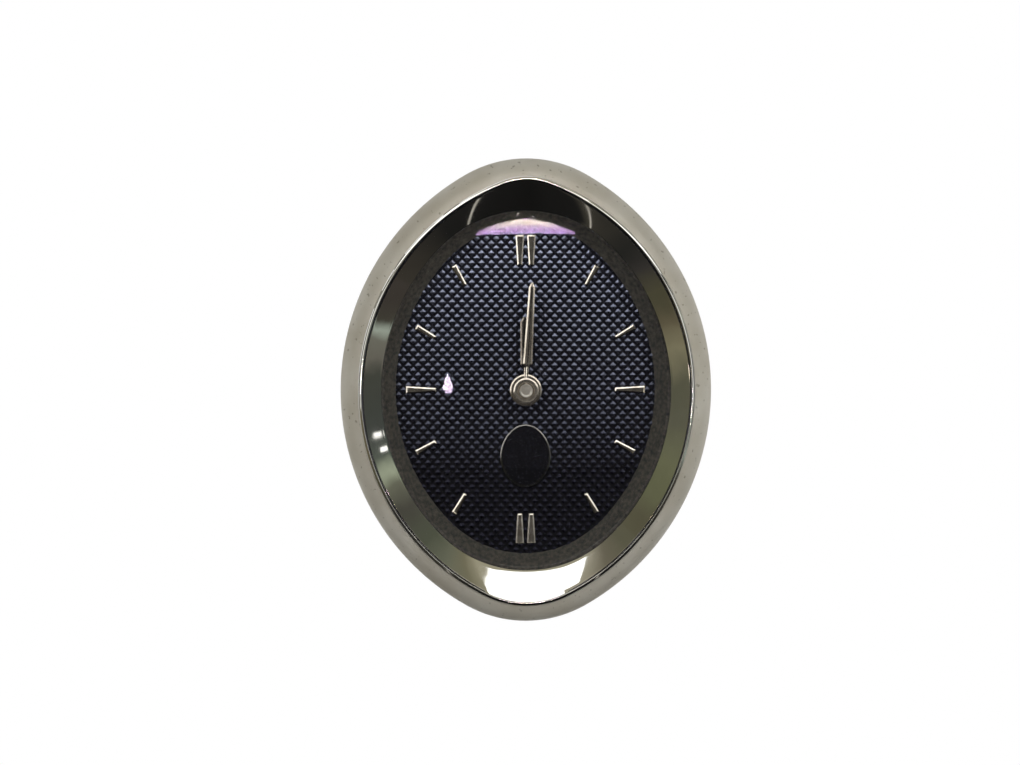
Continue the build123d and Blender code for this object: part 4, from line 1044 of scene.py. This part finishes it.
minute_front, minute_back = front_and_back("minute_hand")
hour_front, hour_back = front_and_back("hour_hand")
button_front, button_back = front_and_back("hub_button")
minute_angle, minute_length, minute_bore, minute_hub = 3.2, 23.4, 0.9, 2.75
hour_angle, hour_length, hour_bore, hour_hub = -1.5, 15.9, 1.95, 3.45
hub_margin = 0.05
bm = bmesh.new()
add_blade(bm, minute_angle, 5.8, minute_length, 2.0, 1.3, minute_back - blade_lift)
turned(bm, [
    (minute_bore, minute_back), (minute_hub, minute_back), (minute_hub, minute_front + 0.125),
    (2.45, minute_front), (2.40, minute_front + 0.03), (1.85, minute_front + 0.06),
    (1.70, minute_front + 0.2), (1.66, button_back), (minute_bore, button_back),
    (minute_bore, minute_back),
], steps=96)
minute = make_piece(
    "minute_pointer", bm, hand_metal, "minute_arbor", ["minute_hand"], crisp=12
)
satin_hub(minute, minute_hub + hub_margin)
# painted shade: darker tones on the hour hand stand in for the minute hand's shadow on it
hour_metal_painted_shade = finish(
    "hour_hand_painted_shade_metal", (92, 86, 78), (132, 125, 115), 0.9, (0.14, 0.24), metal=0.95,
    grain=(0.25, 0.6), stretch=(1, 1, 0.12),
)
bm = bmesh.new()
add_blade(bm, hour_angle, 5.6, hour_length, 2.0, 1.6, hour_back - blade_lift)
turned(bm, [
    (hour_bore, hour_back), (hour_hub, hour_back), (hour_hub, hour_front + 0.125),
    (3.15, hour_front), (3.08, hour_front + 0.02), (2.98, hour_front + 0.45),
    (hour_bore, hour_front + 0.45), (hour_bore, hour_back),
], steps=96)
hour = make_piece(
    "hour_pointer", bm, hour_metal_painted_shade, "hour_tube", ["hour_hand"], crisp=12
)
satin_hub(hour, hour_hub + hub_margin)
bm = bmesh.new()
turned(bm, [
    (0, button_back), (1.45, button_back), (1.45, button_front + 0.14), (1.38, button_front),
    (1.2, button_front), (0.96, button_front + 0.12), (0, button_front + 0.12),
])
button_metal = finish(
    "button_metal", (206, 198, 184), (226, 219, 206), 1.2, (0.16, 0.26), metal=0.3
)
make_piece(
    "arbor_button", bm, button_metal, "minute_arbor", ["hub_button"], crisp=12
)

# %% [markdown]
# ## Finishes of the parts that keep their CAD shape
# The mouldings behind the dial, the gears, the motor and the board are right as they are, and
# each gets its own finish: moulded plastics with a fine grain, drawn and turned metals with
# their lines, and the enamel of the winding wire.

# %% Remaining finishes
plastic, metal = 0, 1
remaining = {"dial_paint": dial_paint}
for name, *look in (
    ("clear_plastic", (196, 202, 204), (216, 221, 222), 6, (0.1, 0.2), plastic, (0.4, 3)),
    ("housing_plastic", (34, 34, 35), (44, 44, 45), 7, (0.42, 0.6), plastic, (0.22, 18)),
    ("cover_plastic", (27, 27, 29), (38, 38, 40), 9, (0.45, 0.62), plastic, (0.2, 22)),
    ("frame_plastic", (188, 184, 170), (206, 202, 188), 6, (0.4, 0.55), plastic, (0.25, 10)),
    ("gear_plastic", (206, 200, 182), (224, 219, 204), 3, (0.35, 0.5), plastic, (0.2, 6)),
    ("gear_brass", (176, 142, 74), (206, 172, 98), 2, (0.2, 0.36), metal, (0.12, 3)),
    ("magnet", (58, 56, 56), (84, 82, 80), 1.2, (0.4, 0.6), 0.6, (0.15, 8)),
    ("soft_iron", (126, 126, 124), (160, 160, 156), 3, (0.28, 0.44), metal, (0.2, 4)),
    ("bobbin_plastic", (30, 70, 52), (42, 88, 66), 3, (0.4, 0.55), plastic, (0.2, 8)),
    ("copper_wire", (150, 70, 32), (196, 104, 54), 0.5, (0.22, 0.34), metal, (0.2, 12), (30, 1, 1)),
    ("contact_tin", (176, 176, 172), (204, 204, 200), 1.5, (0.22, 0.38), metal, (0.15, 3)),
    ("zinc_steel", (150, 152, 152), (190, 191, 188), 1.4, (0.24, 0.42), metal, (0.14, 5)),
    ("board_laminate", (16, 60, 38), (26, 84, 54), 2.6, (0.26, 0.4), plastic, (0.3, 8)),
    ("chip_resin", (26, 26, 28), (38, 38, 40), 1.4, (0.4, 0.6), plastic, (0.12, 10)),
    ("lamp_resin", (206, 212, 214), (226, 230, 230), 1.2, (0.1, 0.2), plastic, (0.2, 3)),
    ("can_metal", (168, 168, 166), (198, 198, 194), 1.6, (0.16, 0.3), metal, (0.15, 3)),
):
    remaining[name] = finish(name, *look)
slot_nodes = {
    "dial_paint": ["dial"], "clear_plastic": ["light_guide"],
    "housing_plastic": ["front_housing", "pin_header"], "cover_plastic": ["rear_cover"],
    "frame_plastic": ["movement_plate", "movement_bridge"],
    "gear_brass": ["centre_wheel", "cannon_pinion"],
    "gear_plastic": ["motion_wheel", "hour_wheel", "third_wheel", "rotor_pinion"],
    "magnet": ["rotor_magnet"], "soft_iron": ["stator", "coil_core"],
    "bobbin_plastic": ["coil_bobbin"], "copper_wire": ["coil_winding"],
    "contact_tin": ["coil_terminals", "contact_pins"],
    "zinc_steel": ["bridge_screws", "motor_screws", "cover_screws", "case_screws"],
    "board_laminate": ["circuit_board"], "lamp_resin": ["lamps"],
    "chip_resin": ["controller_chip"], "can_metal": ["quartz_crystal", "capacitors"],
}
for slot, names in slot_nodes.items():
    for node in names:
        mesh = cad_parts[node].data
        mesh.materials.clear()
        mesh.materials.append(remaining[slot])
print(sum(map(len, slot_nodes.values())), "CAD nodes keep their shape")
